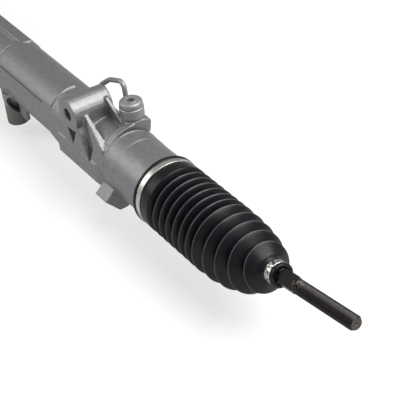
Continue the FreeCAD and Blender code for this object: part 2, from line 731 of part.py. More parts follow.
def pinion_section(height):
    """Outline of the toothed part at a height, turned along the helix."""
    turn = height * math.tan(HELIX) / PITCH_R - math.pi / 2
    half = TOOTH_THICK / (2 * PITCH_R) + involute(PITCH_R)
    edges = []
    corners = []
    for tooth in range(PINION_TEETH):
        centre = turn + 2 * math.pi * tooth / PINION_TEETH
        flank = []
        for point in range(FLANK_POINTS):
            radius = BASE_R + (PINION_TIP_R - BASE_R) * point / (FLANK_POINTS - 1)
            flank.append((radius, half - involute(radius)))
        right = [(PINION_ROOT_R, half)] + flank
        outline = [(radius, centre - angle) for radius, angle in right]
        outline += [(radius, centre + angle) for radius, angle in reversed(right)]
        corners += outline
    points = [V(PINION_X + radius * math.cos(angle), PINION_Y + radius * math.sin(angle), height)
              for radius, angle in corners]
    return Part.makePolygon(points + [points[0]])


def pinion_shaft():
    """Pinion with helical teeth, journals, valve head and the bore of the torsion bar."""
    half = PINION_FACE / 2
    heights = [-half + PINION_FACE * step / (PINION_SECTIONS - 1) for step in range(PINION_SECTIONS)]
    teeth = Part.makeLoft([pinion_section(height) for height in heights], True, True)
    thread_end = LOWER_BEARING_Z - PINION_NUT - 2
    bearing_end = LOWER_BEARING_Z + BEARING_WIDTH
    core = PINION_ROOT_R - 0.5
    lower = revolve_z([(thread_end, 0), (thread_end, NUT_THREAD_R - 1), (thread_end + 1, NUT_THREAD_R),
                       (LOWER_BEARING_Z, NUT_THREAD_R), (LOWER_BEARING_Z, SHAFT_R), (bearing_end, SHAFT_R),
                       (bearing_end, SHAFT_R + 2), (-half, SHAFT_R + 2), (-half + 1, core), (0, core),
                       (0, 0)])
    upper = revolve_z([(0, 0), (0, core), (half - 1, core), (half, JOURNAL_R), (HEAD_START, JOURNAL_R),
                       (HEAD_START, HEAD_R), (SLEEVE_START, HEAD_R), (SLEEVE_START, 0)])
    shaft = union(teeth, lower, upper)
    bores = [rod_z(TORSION_R, TORSION_START, SLEEVE_START + 1),
             rod_z(INPUT_JOURNAL_R + RUN_FIT, HEAD_START - 4, SLEEVE_START + 1)]
    return carve(shaft, bores)


def bearing_rings(bore, outer, z, width):
    """Outer and inner ring of a shielded ball bearing on the pinion axis."""
    middle = (bore + outer) / 2
    inner_ring = revolve_z([(z, bore + PRESS_GAP), (z, middle - 1), (z + width, middle - 1),
                            (z + width, bore + PRESS_GAP)])
    outer_ring = revolve_z([(z, middle - 1 + RUN_FIT), (z, outer), (z + width, outer),
                            (z + width, middle - 1 + RUN_FIT)])
    return outer_ring, inner_ring


def upper_bush():
    """Plain bush under the valve."""
    return ring_z(JOURNAL_R + RUN_FIT, BUSH_R, BUSH_Z, BUSH_Z + BUSH_LENGTH)


def pinion_nut():
    """Nut that clamps the lower bearing on the pinion."""
    start = LOWER_BEARING_Z - PINION_NUT
    nut = hexagon(PINION_NUT_FLATS, V(PINION_X, PINION_Y, start), Z_AXIS, X_AXIS, PINION_NUT)
    return nut.cut(rod_z(NUT_THREAD_R + PRESS_GAP, start - 1, LOWER_BEARING_Z + 1))


def bottom_cap():
    """Screwed cap that closes the tower, with a hexagon head."""
    plug = rod_z(CAP_THREAD_R, TOWER_BOTTOM, TOWER_BOTTOM + CAP_DEPTH)
    hollow = rod_z(CAP_THREAD_R - 4, TOWER_BOTTOM + 4, TOWER_BOTTOM + CAP_DEPTH + 1)
    flange = rod_z(CAP_THREAD_R + 2.5, TOWER_BOTTOM - 3, TOWER_BOTTOM)
    head = hexagon(24.0, V(PINION_X, PINION_Y, TOWER_BOTTOM - 9), Z_AXIS, X_AXIS, 7)
    return union(plug, flange, head).cut(hollow)


def torsion_bar():
    """Spring bar pinned into the pinion below and the input shaft above."""
    head = TORSION_R - PRESS_GAP
    neck_r = TORSION_R - TORSION_RELIEF
    start = TORSION_START + 0.5
    end = INPUT_END - 4
    return revolve_z([(start, 0), (start, head), (start + TORSION_HEAD, head),
                      (start + TORSION_HEAD + 2, neck_r), (end - TORSION_HEAD - 2, neck_r),
                      (end - TORSION_HEAD, head), (end, head), (end, 0)])


def sleeve_profile():
    """Outline of the valve sleeve with its ring grooves and oil grooves."""
    outer = SLEEVE_R - 2 * RUN_FIT
    profile = [(SLEEVE_START, SPOOL_R + RUN_FIT), (SLEEVE_START, outer)]
    for z, width, depth in sleeve_grooves():
        profile += [(z - width / 2, outer), (z - width / 2, outer - depth), (z + width / 2, outer - depth),
                    (z + width / 2, outer)]
    return profile + [(SLEEVE_END, outer), (SLEEVE_END, SPOOL_R + RUN_FIT)]


def sleeve_grooves():
    """Centre, width and depth of each groove, from the pinion upward."""
    pitch = (SLEEVE_END - SLEEVE_START) / SLEEVE_GROOVES
    grooves = []
    for step in range(SLEEVE_GROOVES):
        width, depth = RING_GROOVE if step % 2 == 0 else OIL_GROOVE
        grooves.append((SLEEVE_START + pitch * (step + 0.5), width, depth))
    return grooves


def valve_sleeve():
    """Sleeve of the rotary valve."""
    return revolve_z(sleeve_profile())


def sleeve_rings():
    """Four sealing rings of the sleeve."""
    rings = []
    for z, width, depth in sleeve_grooves():
        if (width, depth) == RING_GROOVE:
            rings.append(ring_z(SLEEVE_R - 2 * RUN_FIT - depth + PRESS_GAP, SLEEVE_R - RUN_FIT / 2,
                                z - width / 2 + PRESS_GAP, z + width / 2 - PRESS_GAP))
    return Part.makeCompound(rings)


def input_shaft():
    """Input shaft with the spool, seal journal and splined end."""
    shoulder = JOURNAL_R + 1.5
    spool_start = SLEEVE_START + 0.3
    spool_end = SLEEVE_END + 1.5
    low = HEAD_START - 3
    shaft = revolve_z([(low, 0), (low, INPUT_JOURNAL_R), (spool_start, INPUT_JOURNAL_R),
                       (spool_start, SPOOL_R), (spool_end, SPOOL_R), (spool_end, shoulder),
                       (UPPER_BEARING_Z, shoulder), (UPPER_BEARING_Z, JOURNAL_R),
                       (SPLINE_START - 2, JOURNAL_R), (SPLINE_START, SPLINE_R), (INPUT_END - 1, SPLINE_R),
                       (INPUT_END, SPLINE_R - 1), (INPUT_END, 0)])
    cuts = [rod_z(TORSION_R + RUN_FIT, HEAD_START - 4, INPUT_END + 1)]
    spread = math.pi / SPLINE_TEETH * 0.8
    for tooth in range(SPLINE_TEETH):
        angle = 2 * math.pi * tooth / SPLINE_TEETH
        tips = [(SPLINE_R - SPLINE_DEPTH, angle), (SPLINE_R + SPLINE_DEPTH, angle - spread),
                (SPLINE_R + SPLINE_DEPTH, angle + spread)]
        points = [V(PINION_X + radius * math.cos(turn), PINION_Y + radius * math.sin(turn), SPLINE_START + 4)
                  for radius, turn in tips]
        cuts.append(prism(points, V(0, 0, INPUT_END)))
    cuts.append(ring_z(SPLINE_R - SPLINE_DEPTH, SPLINE_R + 2, INPUT_END - 16, INPUT_END - 11))
    return carve(shaft, cuts)


def valve_housing():
    """Cast valve body with its flange, line bosses and hose bosses."""
    body = rod_z(VALVE_R, TOWER_TOP, VALVE_TOP)
    flange = rod_z(TOWER_FLANGE_R, TOWER_TOP, TOWER_TOP + VALVE_FLANGE)
    pieces = [flange]
    for x, y in bolt_places():
        pieces.append(rod_z(EAR_R, TOWER_TOP, TOWER_TOP + VALVE_FLANGE, x, y))
    for z in (LINE_A_Z, LINE_B_Z):
        pieces.append(rod_y(LINE_BOSS_R, PINION_Y, PINION_Y + LINE_REACH, PINION_X, z))
    for z in (PRESSURE_Z, RETURN_Z):
        pieces.append(rod_y(HOSE_BOSS_R, PINION_Y - HOSE_REACH, PINION_Y, PINION_X, z))
    solid = union(body, *pieces)
    cuts = [rod_z(BUSH_R, TOWER_TOP - 1, SLEEVE_START), rod_z(SLEEVE_R, SLEEVE_START - 1, UPPER_BEARING_Z),
            rod_z(UPPER_BEARING_R + PRESS_GAP, UPPER_BEARING_Z - 1, VALVE_TOP + 1)]
    for z in (LINE_A_Z, LINE_B_Z):
        cuts.append(rod_y(LINE_THREAD_R, PINION_Y + SLEEVE_R + 2, PINION_Y + LINE_REACH + 1, PINION_X, z))
        cuts.append(rod_y(PIPE_R - 1, PINION_Y, PINION_Y + LINE_REACH, PINION_X, z))
    for z in (PRESSURE_Z, RETURN_Z):
        cuts.append(rod_y(HOSE_THREAD_R, PINION_Y - HOSE_REACH - 1, PINION_Y - SLEEVE_R - 3, PINION_X, z))
        cuts.append(rod_y(PIPE_R, PINION_Y - HOSE_REACH, PINION_Y, PINION_X, z))
    for x, y in bolt_places():
        cuts.append(rod_z(BOLT_R + 0.4, TOWER_TOP - 1, TOWER_TOP + VALVE_FLANGE + 1, x, y))
        cuts.append(rod_z(BOLT_HEAD_R + 1, TOWER_TOP + VALVE_FLANGE, TOWER_TOP + VALVE_FLANGE + 12, x, y))
    return carve(solid, cuts)


def valve_bolts():
    """Socket head screws of the valve housing."""
    top = TOWER_TOP + VALVE_FLANGE
    bolts = []
    for x, y in bolt_places():
        head = rod_z(BOLT_HEAD_R, top, top + BOLT_HEAD, x, y)
        shank = rod_z(BOLT_R, TOWER_TOP - BOLT_DEPTH + 2, top, x, y)
        socket = hexagon(6.0, V(x, y, top + BOLT_HEAD - 4), Z_AXIS, X_AXIS, 5)
        bolts.append(union(head, shank).cut(socket))
    return Part.makeCompound(bolts)


def input_seal():
    """Shaft seal above the upper bearing."""
    return revolve_z([(SEAL_Z, JOURNAL_R + RUN_FIT), (SEAL_Z, UPPER_BEARING_R),
                      (SEAL_Z + SEAL_WIDTH, UPPER_BEARING_R), (SEAL_Z + SEAL_WIDTH, UPPER_BEARING_R - 3),
                      (SEAL_Z + 3, UPPER_BEARING_R - 3), (SEAL_Z + 3, JOURNAL_R + RUN_FIT)])


def dust_cover():
    """Rubber cover over the top of the valve housing."""
    outer = VALVE_R - 1
    gap = JOURNAL_R + SOFT_GAP
    top = VALVE_TOP + COVER_HEIGHT
    return revolve_z([(VALVE_TOP, gap), (VALVE_TOP, outer), (VALVE_TOP + COVER_WALL, outer),
                      (VALVE_TOP + 2 * COVER_WALL, UPPER_BEARING_R - 2), (top, gap + COVER_WALL),
                      (top, gap)])


# Yoke

def yoke():
    """Spring-loaded guide that presses the rack against the pinion."""
    body = rod_y(YOKE_R, YOKE_BACK, YOKE_FACE, PINION_X, 0)
    groove = rod_x(RACK_R + LINER_THICK, PINION_X - YOKE_R - 1, PINION_X + YOKE_R + 1)
    pocket = rod_y(10.0, YOKE_BACK - 1, YOKE_BACK + 12, PINION_X, 0)
    return carve(body, [groove, pocket])


def yoke_liner():
    """Plastic liner between the yoke and the back of the rack."""
    half = 12.0
    shell = rod_x(RACK_R + LINER_THICK - PRESS_GAP, PINION_X - half, PINION_X + half)
    shell = shell.cut(rod_x(RACK_R + RUN_FIT, PINION_X - half - 1, PINION_X + half + 1))
    return shell.common(box(PINION_X - half, PINION_X + half, -RACK_R - 2, YOKE_FACE - 1, -11, 11))


def yoke_springs():
    """Stack of two disc springs between the yoke and its plug."""
    gap = PLUG_INNER - (YOKE_BACK + 12)
    height = abs(gap) / 2
    discs = []
    for step in range(2):
        inner_y, outer_y = (0.0, height - 1.6) if step == 0 else (height - 1.6, 0.0)
        base = V(PINION_X, PLUG_INNER + step * height, 0)
        discs.append(revolve([(inner_y, 4.0), (outer_y, 9.5), (outer_y + 1.6, 9.5), (inner_y + 1.6, 4.0)],
                             base, Y_AXIS, X_AXIS))
    return Part.makeCompound(discs)


def yoke_plug():
    """Adjusting plug of the yoke, with a hexagon socket."""
    body = rod_y(YOKE_R - PRESS_GAP, PLUG_OUTER, PLUG_INNER, PINION_X, 0)
    socket = hexagon(17.0, V(PINION_X, PLUG_OUTER - 1, 0), Y_AXIS, X_AXIS, 11)
    return body.cut(socket)


def yoke_lock_nut():
    """Thin lock nut that holds the adjustment."""
    nut = hexagon(LOCK_NUT_FLATS, V(PINION_X, YOKE_BOSS_END - LOCK_NUT, 0), Y_AXIS, X_AXIS, LOCK_NUT)
    return nut.cut(rod_y(YOKE_R, YOKE_BOSS_END - LOCK_NUT - 1, YOKE_BOSS_END + 1, PINION_X, 0))


# Line fittings and pipes

def eye_middle(x, y, face, up):
    """Centre of a banjo eye, halfway up its height."""
    return V(x, y, face + up * (WASHER + EYE_HEIGHT / 2))


def line_start(x, y, face, up, outward):
    """Where the pipe ends inside the socket of its banjo eye."""
    return eye_middle(x, y, face, up) + outward * (EYE_R - SOCKET_DEPTH)


def banjo_eye(x, y, face, up, outward):
    """Eye of the line, on its port boss between two washers, with the socket of the pipe."""
    axis = Z_AXIS * up
    base = V(x, y, face) + axis * WASHER
    eye = Part.makeCylinder(EYE_R, EYE_HEIGHT - 1, base, axis)
    rim = Part.makeCone(EYE_R, CAP_R, 1, base + axis * (EYE_HEIGHT - 1), axis)
    bore = Part.makeCylinder(BANJO_STEM_R + 1, EYE_HEIGHT, base, axis)
    start = line_start(x, y, face, up, outward)
    socket = Part.makeCylinder(PIPE_R + PRESS_GAP, SOCKET_DEPTH + 2, start, outward)
    return carve(union(eye, rim), [bore, socket])


def banjo_bolt(x, y, face, up):
    """Domed bolt with a hexagon socket."""
    axis = Z_AXIS * up
    seat = 2 * WASHER + EYE_HEIGHT
    crown = seat + CAP_HEIGHT
    profile = [(-BANJO_STEM, 0), (-BANJO_STEM, BANJO_STEM_R), (seat, BANJO_STEM_R), (seat, CAP_R)]
    for step in range(5):
        angle = math.radians(22.5 * step)
        profile.append((crown - CAP_DOME + CAP_DOME * math.sin(angle),
                        CAP_TOP_R + (CAP_R - CAP_TOP_R) * math.cos(angle)))
    profile.append((crown, 0))
    centre = V(x, y, face)
    bolt = revolve(profile, centre, axis, X_AXIS)
    socket = hexagon(HEX_SOCKET, centre + axis * (crown - 5), axis, X_AXIS, 6)
    return bolt.cut(socket)


def washers(x, y, face, up):
    """Two copper washers of one fitting."""
    axis = Z_AXIS * up
    rings = []
    for offset in (0.0, WASHER + EYE_HEIGHT):
        base = V(x, y, face) + axis * offset
        disc = Part.makeCylinder(CAP_R - 1, WASHER, base, axis)
        rings.append(disc.cut(Part.makeCylinder(BANJO_STEM_R + PRESS_GAP, WASHER, base, axis)))
    return rings


def line_end(z):
    """Face of a line boss on the valve housing."""
    return V(PINION_X, PINION_Y + LINE_REACH, z)


def turned(angle):
    """Level unit vector at an angle about Z from +X."""
    return V(math.cos(math.radians(angle)), math.sin(math.radians(angle)), 0)


def right_pipe():
    """Line from the outer end of the cylinder to the valve, along the far side of the casting."""
    outward = turned(RIGHT_LINE_TURN)
    start = line_start(PORT_X, PORT_Y, PORT_Z, 1, outward)
    corners = [(start + outward * EYE_LEAD, TIGHT_BEND),
               (V(PORT_X - 22.5, HOOP_Y, HOOP_Z), TIGHT_BEND + 1),
               (V(MOUNT_X - 4.5, HOOP_Y, HOOP_Z - 12), HOOP_BEND),
               (V(MOUNT_X - 31, HOOP_Y + 1, MOUNT_Z), WIDE_BEND),
               (V(MOUNT_X - 50, LINE_SIDE - 2, 18), WIDE_BEND),
               (V(MOUNT_X - 64, LINE_SIDE, LINE_LOW), WIDE_BEND),
               (V(PINION_X + 34, LINE_SIDE, LINE_LOW), WIDE_BEND),
               (V(PINION_X + 2, RIGHT_LOOP_Y - 8, 8), WIDE_BEND),
               (V(PINION_X, RIGHT_LOOP_Y, LINE_A_Z), TIGHT_BEND)]
    return pipe(start, corners, line_end(LINE_A_Z))


def left_pipe():
    """Line from the inner end of the cylinder to the valve, below the first one."""
    outward = turned(LEFT_LINE_TURN)
    start = line_start(LEFT_PORT_X, LEFT_PORT_Y, LEFT_PORT_Z, -1, outward)
    corners = [(V(start.x, LEFT_LINE_Y - 2, start.z), WIDE_BEND),
               (V(start.x - 50, LEFT_LINE_Y, LEFT_LINE_LOW), WIDE_BEND),
               (V(PINION_X + 30, LEFT_LINE_Y + 4, LEFT_LINE_LOW), WIDE_BEND),
               (V(PINION_X - 6, LEFT_LOOP_Y - 6, 20), WIDE_BEND),
               (V(PINION_X, LEFT_LOOP_Y, LINE_B_Z), TIGHT_BEND)]
    return pipe(start, corners, line_end(LINE_B_Z))


def flare_nuts():
    """Union nuts of both lines at the valve."""
    nuts = []
    for z in (LINE_A_Z, LINE_B_Z):
        face = line_end(z)
        nut = hexagon(NUT_FLATS, face, Y_AXIS, Z_AXIS, NUT_LENGTH - 5)
        stem = Part.makeCylinder(LINE_THREAD_R - PRESS_GAP, 8, face - Y_AXIS * 8, Y_AXIS)
        bore = Part.makeCylinder(PIPE_R + PRESS_GAP, NUT_LENGTH + 10, face - Y_AXIS * 9, Y_AXIS)
        nuts.append(union(nut, stem).cut(bore))
    return Part.makeCompound(nuts)


# Ball joints and tie rods

def on_rod(distance):
    """Point on the axis of the right tie rod, at a distance from its ball."""
    return V(BALL_REACH + distance * math.cos(TILT), 0, distance * math.sin(TILT))


def rod_axis():
    """Direction of the right tie rod."""
    return V(math.cos(TILT), 0, math.sin(TILT))


def ball_socket():
    """Socket screwed into the rack end, rolled over the ball seat."""
    cavity = BALL_R + SEAT_WALL + 2 * BALL_FIT
    lip = SOCKET_LIP
    stud = STUD_R - PRESS_GAP
    stud_end = -SOCKET_SEAT - STUD_LENGTH
    collar = RACK_R + 1
    body = revolve_x([(stud_end, 0), (stud_end, stud - 1), (stud_end + 1, stud), (-SOCKET_SEAT, stud),
                      (-SOCKET_SEAT, collar), (-SOCKET_SEAT + 5, collar), (-SOCKET_SEAT + 8, SOCKET_R),
                      (lip - 4, SOCKET_R), (lip + 2, SOCKET_R - 4), (lip + 2, 0)], BALL_REACH)
    centre = V(BALL_REACH, 0, 0)
    inner_mouth = math.sqrt(cavity ** 2 - lip ** 2)
    mouth = Part.makeCone(inner_mouth, SOCKET_R - 4.6, 3, centre + X_AXIS * (lip - 0.5), X_AXIS)
    flats = []
    for sign in (-1, 1):
        low, high = sorted((sign * (RACK_R - 1.5), sign * (RACK_R + 4)))
        flats.append(box(RACK_END - 1, RACK_END + 6, -SOCKET_R, SOCKET_R, low, high))
    return carve(body, [Part.makeSphere(cavity, centre), mouth] + flats)


def ball_seat():
    """Plastic cup between the ball and the socket."""
    centre = V(BALL_REACH, 0, 0)
    outer = Part.makeSphere(BALL_R + BALL_FIT + SEAT_WALL, centre)
    inner = Part.makeSphere(BALL_R + BALL_FIT, centre)
    keep = box(BALL_REACH - 12, BALL_REACH + 4, -BALL_R * 2, BALL_R * 2, -BALL_R * 2, BALL_R * 2)
    return outer.cut(inner).common(keep)


def tie_rod():
    """Ball pin, rod, wrench flats and threaded end in one forging."""
    centre = on_rod(0)
    axis = rod_axis()
    side = V(-math.sin(TILT), 0, math.cos(TILT))
    ball = Part.makeSphere(BALL_R, centre)
    shaft = revolve([(4, 0), (4, NECK_WAIST_R), (ROD_WAIST_END, NECK_WAIST_R), (ROD_FULL, ROD_R),
                     (GROOVE_START, ROD_R), (GROOVE_START, ROD_GROOVE_R), (GROOVE_END, ROD_GROOVE_R),
                     (GROOVE_END, WRENCH_R - 0.8), (GROOVE_END + 0.8, WRENCH_R),
                     (WRENCH_END - 1.5, WRENCH_R), (WRENCH_END, THREAD_R), (ROD_TIP - TIP_CHAMFER, THREAD_R),
                     (ROD_TIP, THREAD_R - TIP_CHAMFER), (ROD_TIP, CENTRE_DRILL_R),
                     (ROD_TIP - 1.4 * CENTRE_DRILL_R, 0)], centre, axis, side)
    flats = []
    start = on_rod(GROOVE_END + FLAT_MARGIN)
    length = WRENCH_END - GROOVE_END - 2 * FLAT_MARGIN
    for turn in range(6):
        angle = math.radians(60 * turn)
        out = side * math.cos(angle) + axis.cross(side) * math.sin(angle)
        along = axis.cross(out) * WRENCH_R
        corner = start + out * (WRENCH_FLATS / 2)
        points = [corner - along, corner + along, corner + along + out * 5, corner - along + out * 5]
        flats.append(prism(points, axis * length))
    return carve(union(ball, shaft), flats)


# Bellows and clamps

def bellows_centre(station):
    """Middle of the bellows at a station: on the rack axis first, then bending onto the rod."""
    reach = station - BALL_REACH
    full = GROOVE_START
    weight = min(max(reach / full, 0.0), 1.0) ** 1.6
    return V(BALL_REACH + reach * (1 - weight * (1 - math.cos(TILT))), 0, weight * reach * math.sin(TILT))


def bellows_stations():
    """(station, outer radius) pairs from the mouth to the small cuff."""
    stations = [(-MOUTH_MARGIN, MOUTH_R), (MOUTH_LIP, MOUTH_R), (MOUTH_LIP, CUFF_R), (CUFF_LENGTH, CUFF_R),
                (CUFF_LENGTH + 0.5, SHOULDER_R), (FIRST_CREST, BELLOWS_R)]
    crest = FIRST_CREST
    for fold in range(1, CRESTS):
        stations.append((crest + ROOT_SHARE * CREST_PITCH, BELLOWS_R - ROOT_DEPTH))
        crest += CREST_PITCH
        stations.append((crest, BELLOWS_R))
    start = BALL_REACH + GROOVE_START
    bell = (start - 9 - crest) / BELLS
    for step in range(1, BELLS + 1):
        radius = BELLOWS_R * math.sqrt(1 - (step * bell / TAPER_LENGTH) ** 2)
        stations.append((crest + (step - 1 + BELL_SHARE) * bell, radius - BELL_DEPTH))
        stations.append((crest + step * bell, radius))
    stations.append((start + 1.5, SMALL_CUFF_R))
    stations.append((start + SMALL_CUFF - 3, SMALL_CUFF_R))
    return stations


def bellows_skin(inset):
    """Closed solid inside the bellows outline, set in by a wall thickness."""
    wires = []
    previous = None
    for station, radius in bellows_stations():
        place = station
        if previous is not None and station - previous < 0.01:
            place = station + 0.2
        previous = place
        centre = bellows_centre(place)
        ahead = bellows_centre(place + 0.5)
        behind = bellows_centre(place - 0.5)
        direction = (ahead - behind).normalize()
        wires.append(Part.Wire([Part.makeCircle(radius - inset, centre, direction)]))
    return Part.makeLoft(wires, True, True)


def bellows():
    """Thin rubber bellows from the housing neck to the tie rod."""
    hollow = bellows_skin(WALL)
    cuff = rod_x(SPIGOT_R, -1, SPIGOT_LENGTH + 0.5)
    axis = rod_axis()
    rod_hole = Part.makeCylinder(ROD_GROOVE_R + SOFT_GAP, SMALL_CUFF + 20, on_rod(GROOVE_START - 10), axis)
    bead = Part.makeCylinder(BEAD_R, BEAD_WIDTH, on_rod(BEAD_START), axis)
    return bellows_skin(0.0).fuse(bead).cut(hollow).cut(cuff).cut(rod_hole)


def large_band():
    """Flat steel band round the mouth, its free end lying on top."""
    inner = CUFF_R + PRESS_GAP
    end = BAND_START + BAND_WIDTH
    band = ring_x(inner, inner + BAND_THICK, BAND_START, end)
    lap = ring_x(inner + BAND_THICK - 0.1, inner + BAND_THICK + 0.5, BAND_START, end)
    far = 2 * MOUTH_R
    sector = prism([V(BAND_START, 0, 0), V(BAND_START, -far * 0.25, far), V(BAND_START, far, far * 0.6)],
                   V(BAND_WIDTH, 0, 0))
    return union(band, lap.common(sector))


def small_band():
    """Spring band round the small cuff."""
    inner = SMALL_CUFF_R + PRESS_GAP
    base = on_rod(SMALL_BAND_START)
    axis = rod_axis()
    outer = Part.makeCylinder(inner + SMALL_BAND_THICK, SMALL_BAND_WIDTH, base, axis)
    return outer.cut(Part.makeCylinder(inner, SMALL_BAND_WIDTH, base, axis))


def build():
    """Every node with its shape, laid out from the rack axis."""
    lower_outer, lower_inner = bearing_rings(SHAFT_R, LOWER_BEARING_R, LOWER_BEARING_Z, BEARING_WIDTH)
    upper_outer, upper_inner = bearing_rings(JOURNAL_R, UPPER_BEARING_R, UPPER_BEARING_Z, BEARING_WIDTH - 1)
    nodes = {
        "rack_housing": rack_housing(),
        "cylinder_tube": cylinder_tube(),
        "end_gland": end_gland(),
        "end_seal": end_seal(),
        "gland_snap_ring": gland_ring(),
        "inner_gland": inner_gland(),
        "inner_seal": inner_seal(),
        "rack_bar": rack_bar(),
        "rack_piston": rack_piston(),
        "piston_ring": piston_ring(),
        "piston_snap_rings": piston_snap_rings(),
        "pinion_shaft": pinion_shaft(),
        "lower_bearing_outer_ring": lower_outer,
        "lower_bearing_inner_ring": lower_inner,
        "upper_bush": upper_bush(),
        "pinion_nut": pinion_nut(),
        "bottom_cap": bottom_cap(),
        "torsion_bar": torsion_bar(),
        "valve_sleeve": valve_sleeve(),
        "sleeve_rings": sleeve_rings(),
        "input_shaft": input_shaft(),
        "valve_housing": valve_housing(),
        "valve_bolts": valve_bolts(),
        "upper_bearing_outer_ring": upper_outer,
        "upper_bearing_inner_ring": upper_inner,
        "input_seal": input_seal(),
        "dust_cover": dust_cover(),
        "yoke": yoke(),
        "yoke_liner": yoke_liner(),
        "yoke_springs": yoke_springs(),
        "yoke_plug": yoke_plug(),
        "yoke_lock_nut": yoke_lock_nut(),
        "right_banjo_eye": banjo_eye(PORT_X, PORT_Y, PORT_Z, 1, turned(RIGHT_LINE_TURN)),
        "left_banjo_eye": banjo_eye(LEFT_PORT_X, LEFT_PORT_Y, LEFT_PORT_Z, -1, turned(LEFT_LINE_TURN)),
        "banjo_bolts": Part.makeCompound([banjo_bolt(PORT_X, PORT_Y, PORT_Z, 1),
                                          banjo_bolt(LEFT_PORT_X, LEFT_PORT_Y, LEFT_PORT_Z, -1)]),
        "copper_washers": Part.makeCompound(washers(PORT_X, PORT_Y, PORT_Z, 1)
                                            + washers(LEFT_PORT_X, LEFT_PORT_Y, LEFT_PORT_Z, -1)),
        "right_line_pipe": right_pipe(),
        "left_line_pipe": left_pipe(),
        "flare_nuts": flare_nuts(),
    }
    pair = {"ball_socket": ball_socket(), "ball_seat": ball_seat(), "tie_rod": tie_rod(),
            "bellows": bellows(), "large_band": large_band(), "small_band": small_band()}
    for name, shape in pair.items():
        nodes["right_" + name] = shape
        nodes["left_" + name] = turned_round(shape)
    return nodes


def main():
    """Move every node to the mounting bore and write it."""
    os.makedirs("parts", exist_ok=True)
    origin = V(MOUNT_X, MOUNT_Y, MOUNT_Z)
    for name, shape in build().items():
        placed = shape.copy()
        placed.translate(origin * -1)
        placed.exportStep("parts/" + name + ".step")


main()
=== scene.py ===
"""Looks of a hydraulic rack and pinion steering gear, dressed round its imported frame.

The housing is a shot-blasted aluminium casting, so its corners are rounded and its skin is finely
pitted. The bellows, tie rods, clamps and line fittings are finer meshes that stand in the places of
their plain solids. All sizes are in millimetres from the mouth of the right-hand bellows, with X
along the rack.
"""
import json
import logging
import math
from contextlib import contextmanager
from dataclasses import dataclass, field, fields
from enum import Enum
from typing import Any, Callable, Iterator, Sequence

import bmesh
import bpy
import numpy as np
from mathutils import Matrix, Vector


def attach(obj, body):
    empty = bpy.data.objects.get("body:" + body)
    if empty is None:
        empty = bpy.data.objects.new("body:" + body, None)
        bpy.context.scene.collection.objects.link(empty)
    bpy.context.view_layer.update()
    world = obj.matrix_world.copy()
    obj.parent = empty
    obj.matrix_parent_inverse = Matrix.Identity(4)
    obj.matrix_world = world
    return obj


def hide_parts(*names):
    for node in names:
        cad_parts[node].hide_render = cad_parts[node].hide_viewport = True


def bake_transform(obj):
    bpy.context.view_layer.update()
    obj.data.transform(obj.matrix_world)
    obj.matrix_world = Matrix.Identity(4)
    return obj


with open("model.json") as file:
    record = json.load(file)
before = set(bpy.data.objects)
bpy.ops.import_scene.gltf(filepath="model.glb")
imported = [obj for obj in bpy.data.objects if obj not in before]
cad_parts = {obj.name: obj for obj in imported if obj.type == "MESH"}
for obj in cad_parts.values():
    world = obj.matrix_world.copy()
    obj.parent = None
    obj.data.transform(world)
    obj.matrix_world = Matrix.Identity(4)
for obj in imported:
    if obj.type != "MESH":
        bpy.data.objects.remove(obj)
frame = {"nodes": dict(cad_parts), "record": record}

Profile = list[tuple[float, float]]
Basis = tuple[Vector, Vector, Vector]
Radii = np.ndarray | float
Mesh = bpy.types.Mesh
Object = bpy.types.Object
Material = bpy.types.Material
Finishes = dict[str, Material]
Socket = bpy.types.NodeSocket

LOG = logging.getLogger("steering_gear")
MM = 0.001
MOUTH = Vector((141.5, 12.5, -46.0))     # mouth of the right-hand bellows, off the frame's origin
HOUSING_LENGTH = 700.0                   # mouth to mouth of the two bellows
BARREL_R = 36.0
PINION_X = 115.0 - HOUSING_LENGTH        # axis of the pinion and the valve
VALVE_FACE_Y = 50.4                      # where both lines end, at the valve
BALL_REACH = 105.0                       # mouth of the bellows to the ball's centre
ROD_TILT = math.radians(8.5)             # rise of the tie rods at rest
RIGHT_PORT = Vector((-91.0, 19.0, 45.0))
LEFT_PORT = Vector((-276.0, 12.0, -43.0))
EYE_MIDDLE = 5.7                         # face of a port to the middle of the line's eye
EYE_MOUTH = 11.2                         # middle of an eye to the start of its line
FLOOR_Z = -115.4


class Side(Enum):
    """End of the gear."""

    RIGHT = "right"
    LEFT = "left"

    @property
    def matrix(self) -> Matrix:
        """Placement of a piece that was built for the right end, in metres."""
        if self is Side.RIGHT:
            return Matrix.Identity(4)
        middle = Matrix.Translation(Vector((MOUTH.x - HOUSING_LENGTH / 2, MOUTH.y, 0.0)) * MM)
        return middle @ Matrix.Rotation(math.pi, 4, "Z") @ middle.inverted()

    def body(self, part: str) -> str:
        """Name of a body, node or piece of this end."""
        return f"{self.value}_{part}"


def point(x: float, y: float = 0.0, z: float = 0.0) -> Vector:
    """Point in the row frame, in metres, from millimetres off the right-hand mouth."""
    return (MOUTH + Vector((x, y, z))) * MM


def shares(count: int) -> list[float]:
    """Even shares of a length, from just after its start to its end."""
    return [step / count for step in range(1, count + 1)]


def linear(code: str) -> tuple[float, float, float, float]:
    """Linear colour of an sRGB hex code.

    Args:
        code: six hex digits with a leading hash.

    Returns:
        Red, green, blue and an alpha of 1.
    """
    parts = [int(code[i:i + 2], 16) / 255 for i in (1, 3, 5)]
    out = [p / 12.92 if p <= 0.04045 else ((p + 0.055) / 1.055) ** 2.4 for p in parts]
    return out[0], out[1], out[2], 1.0


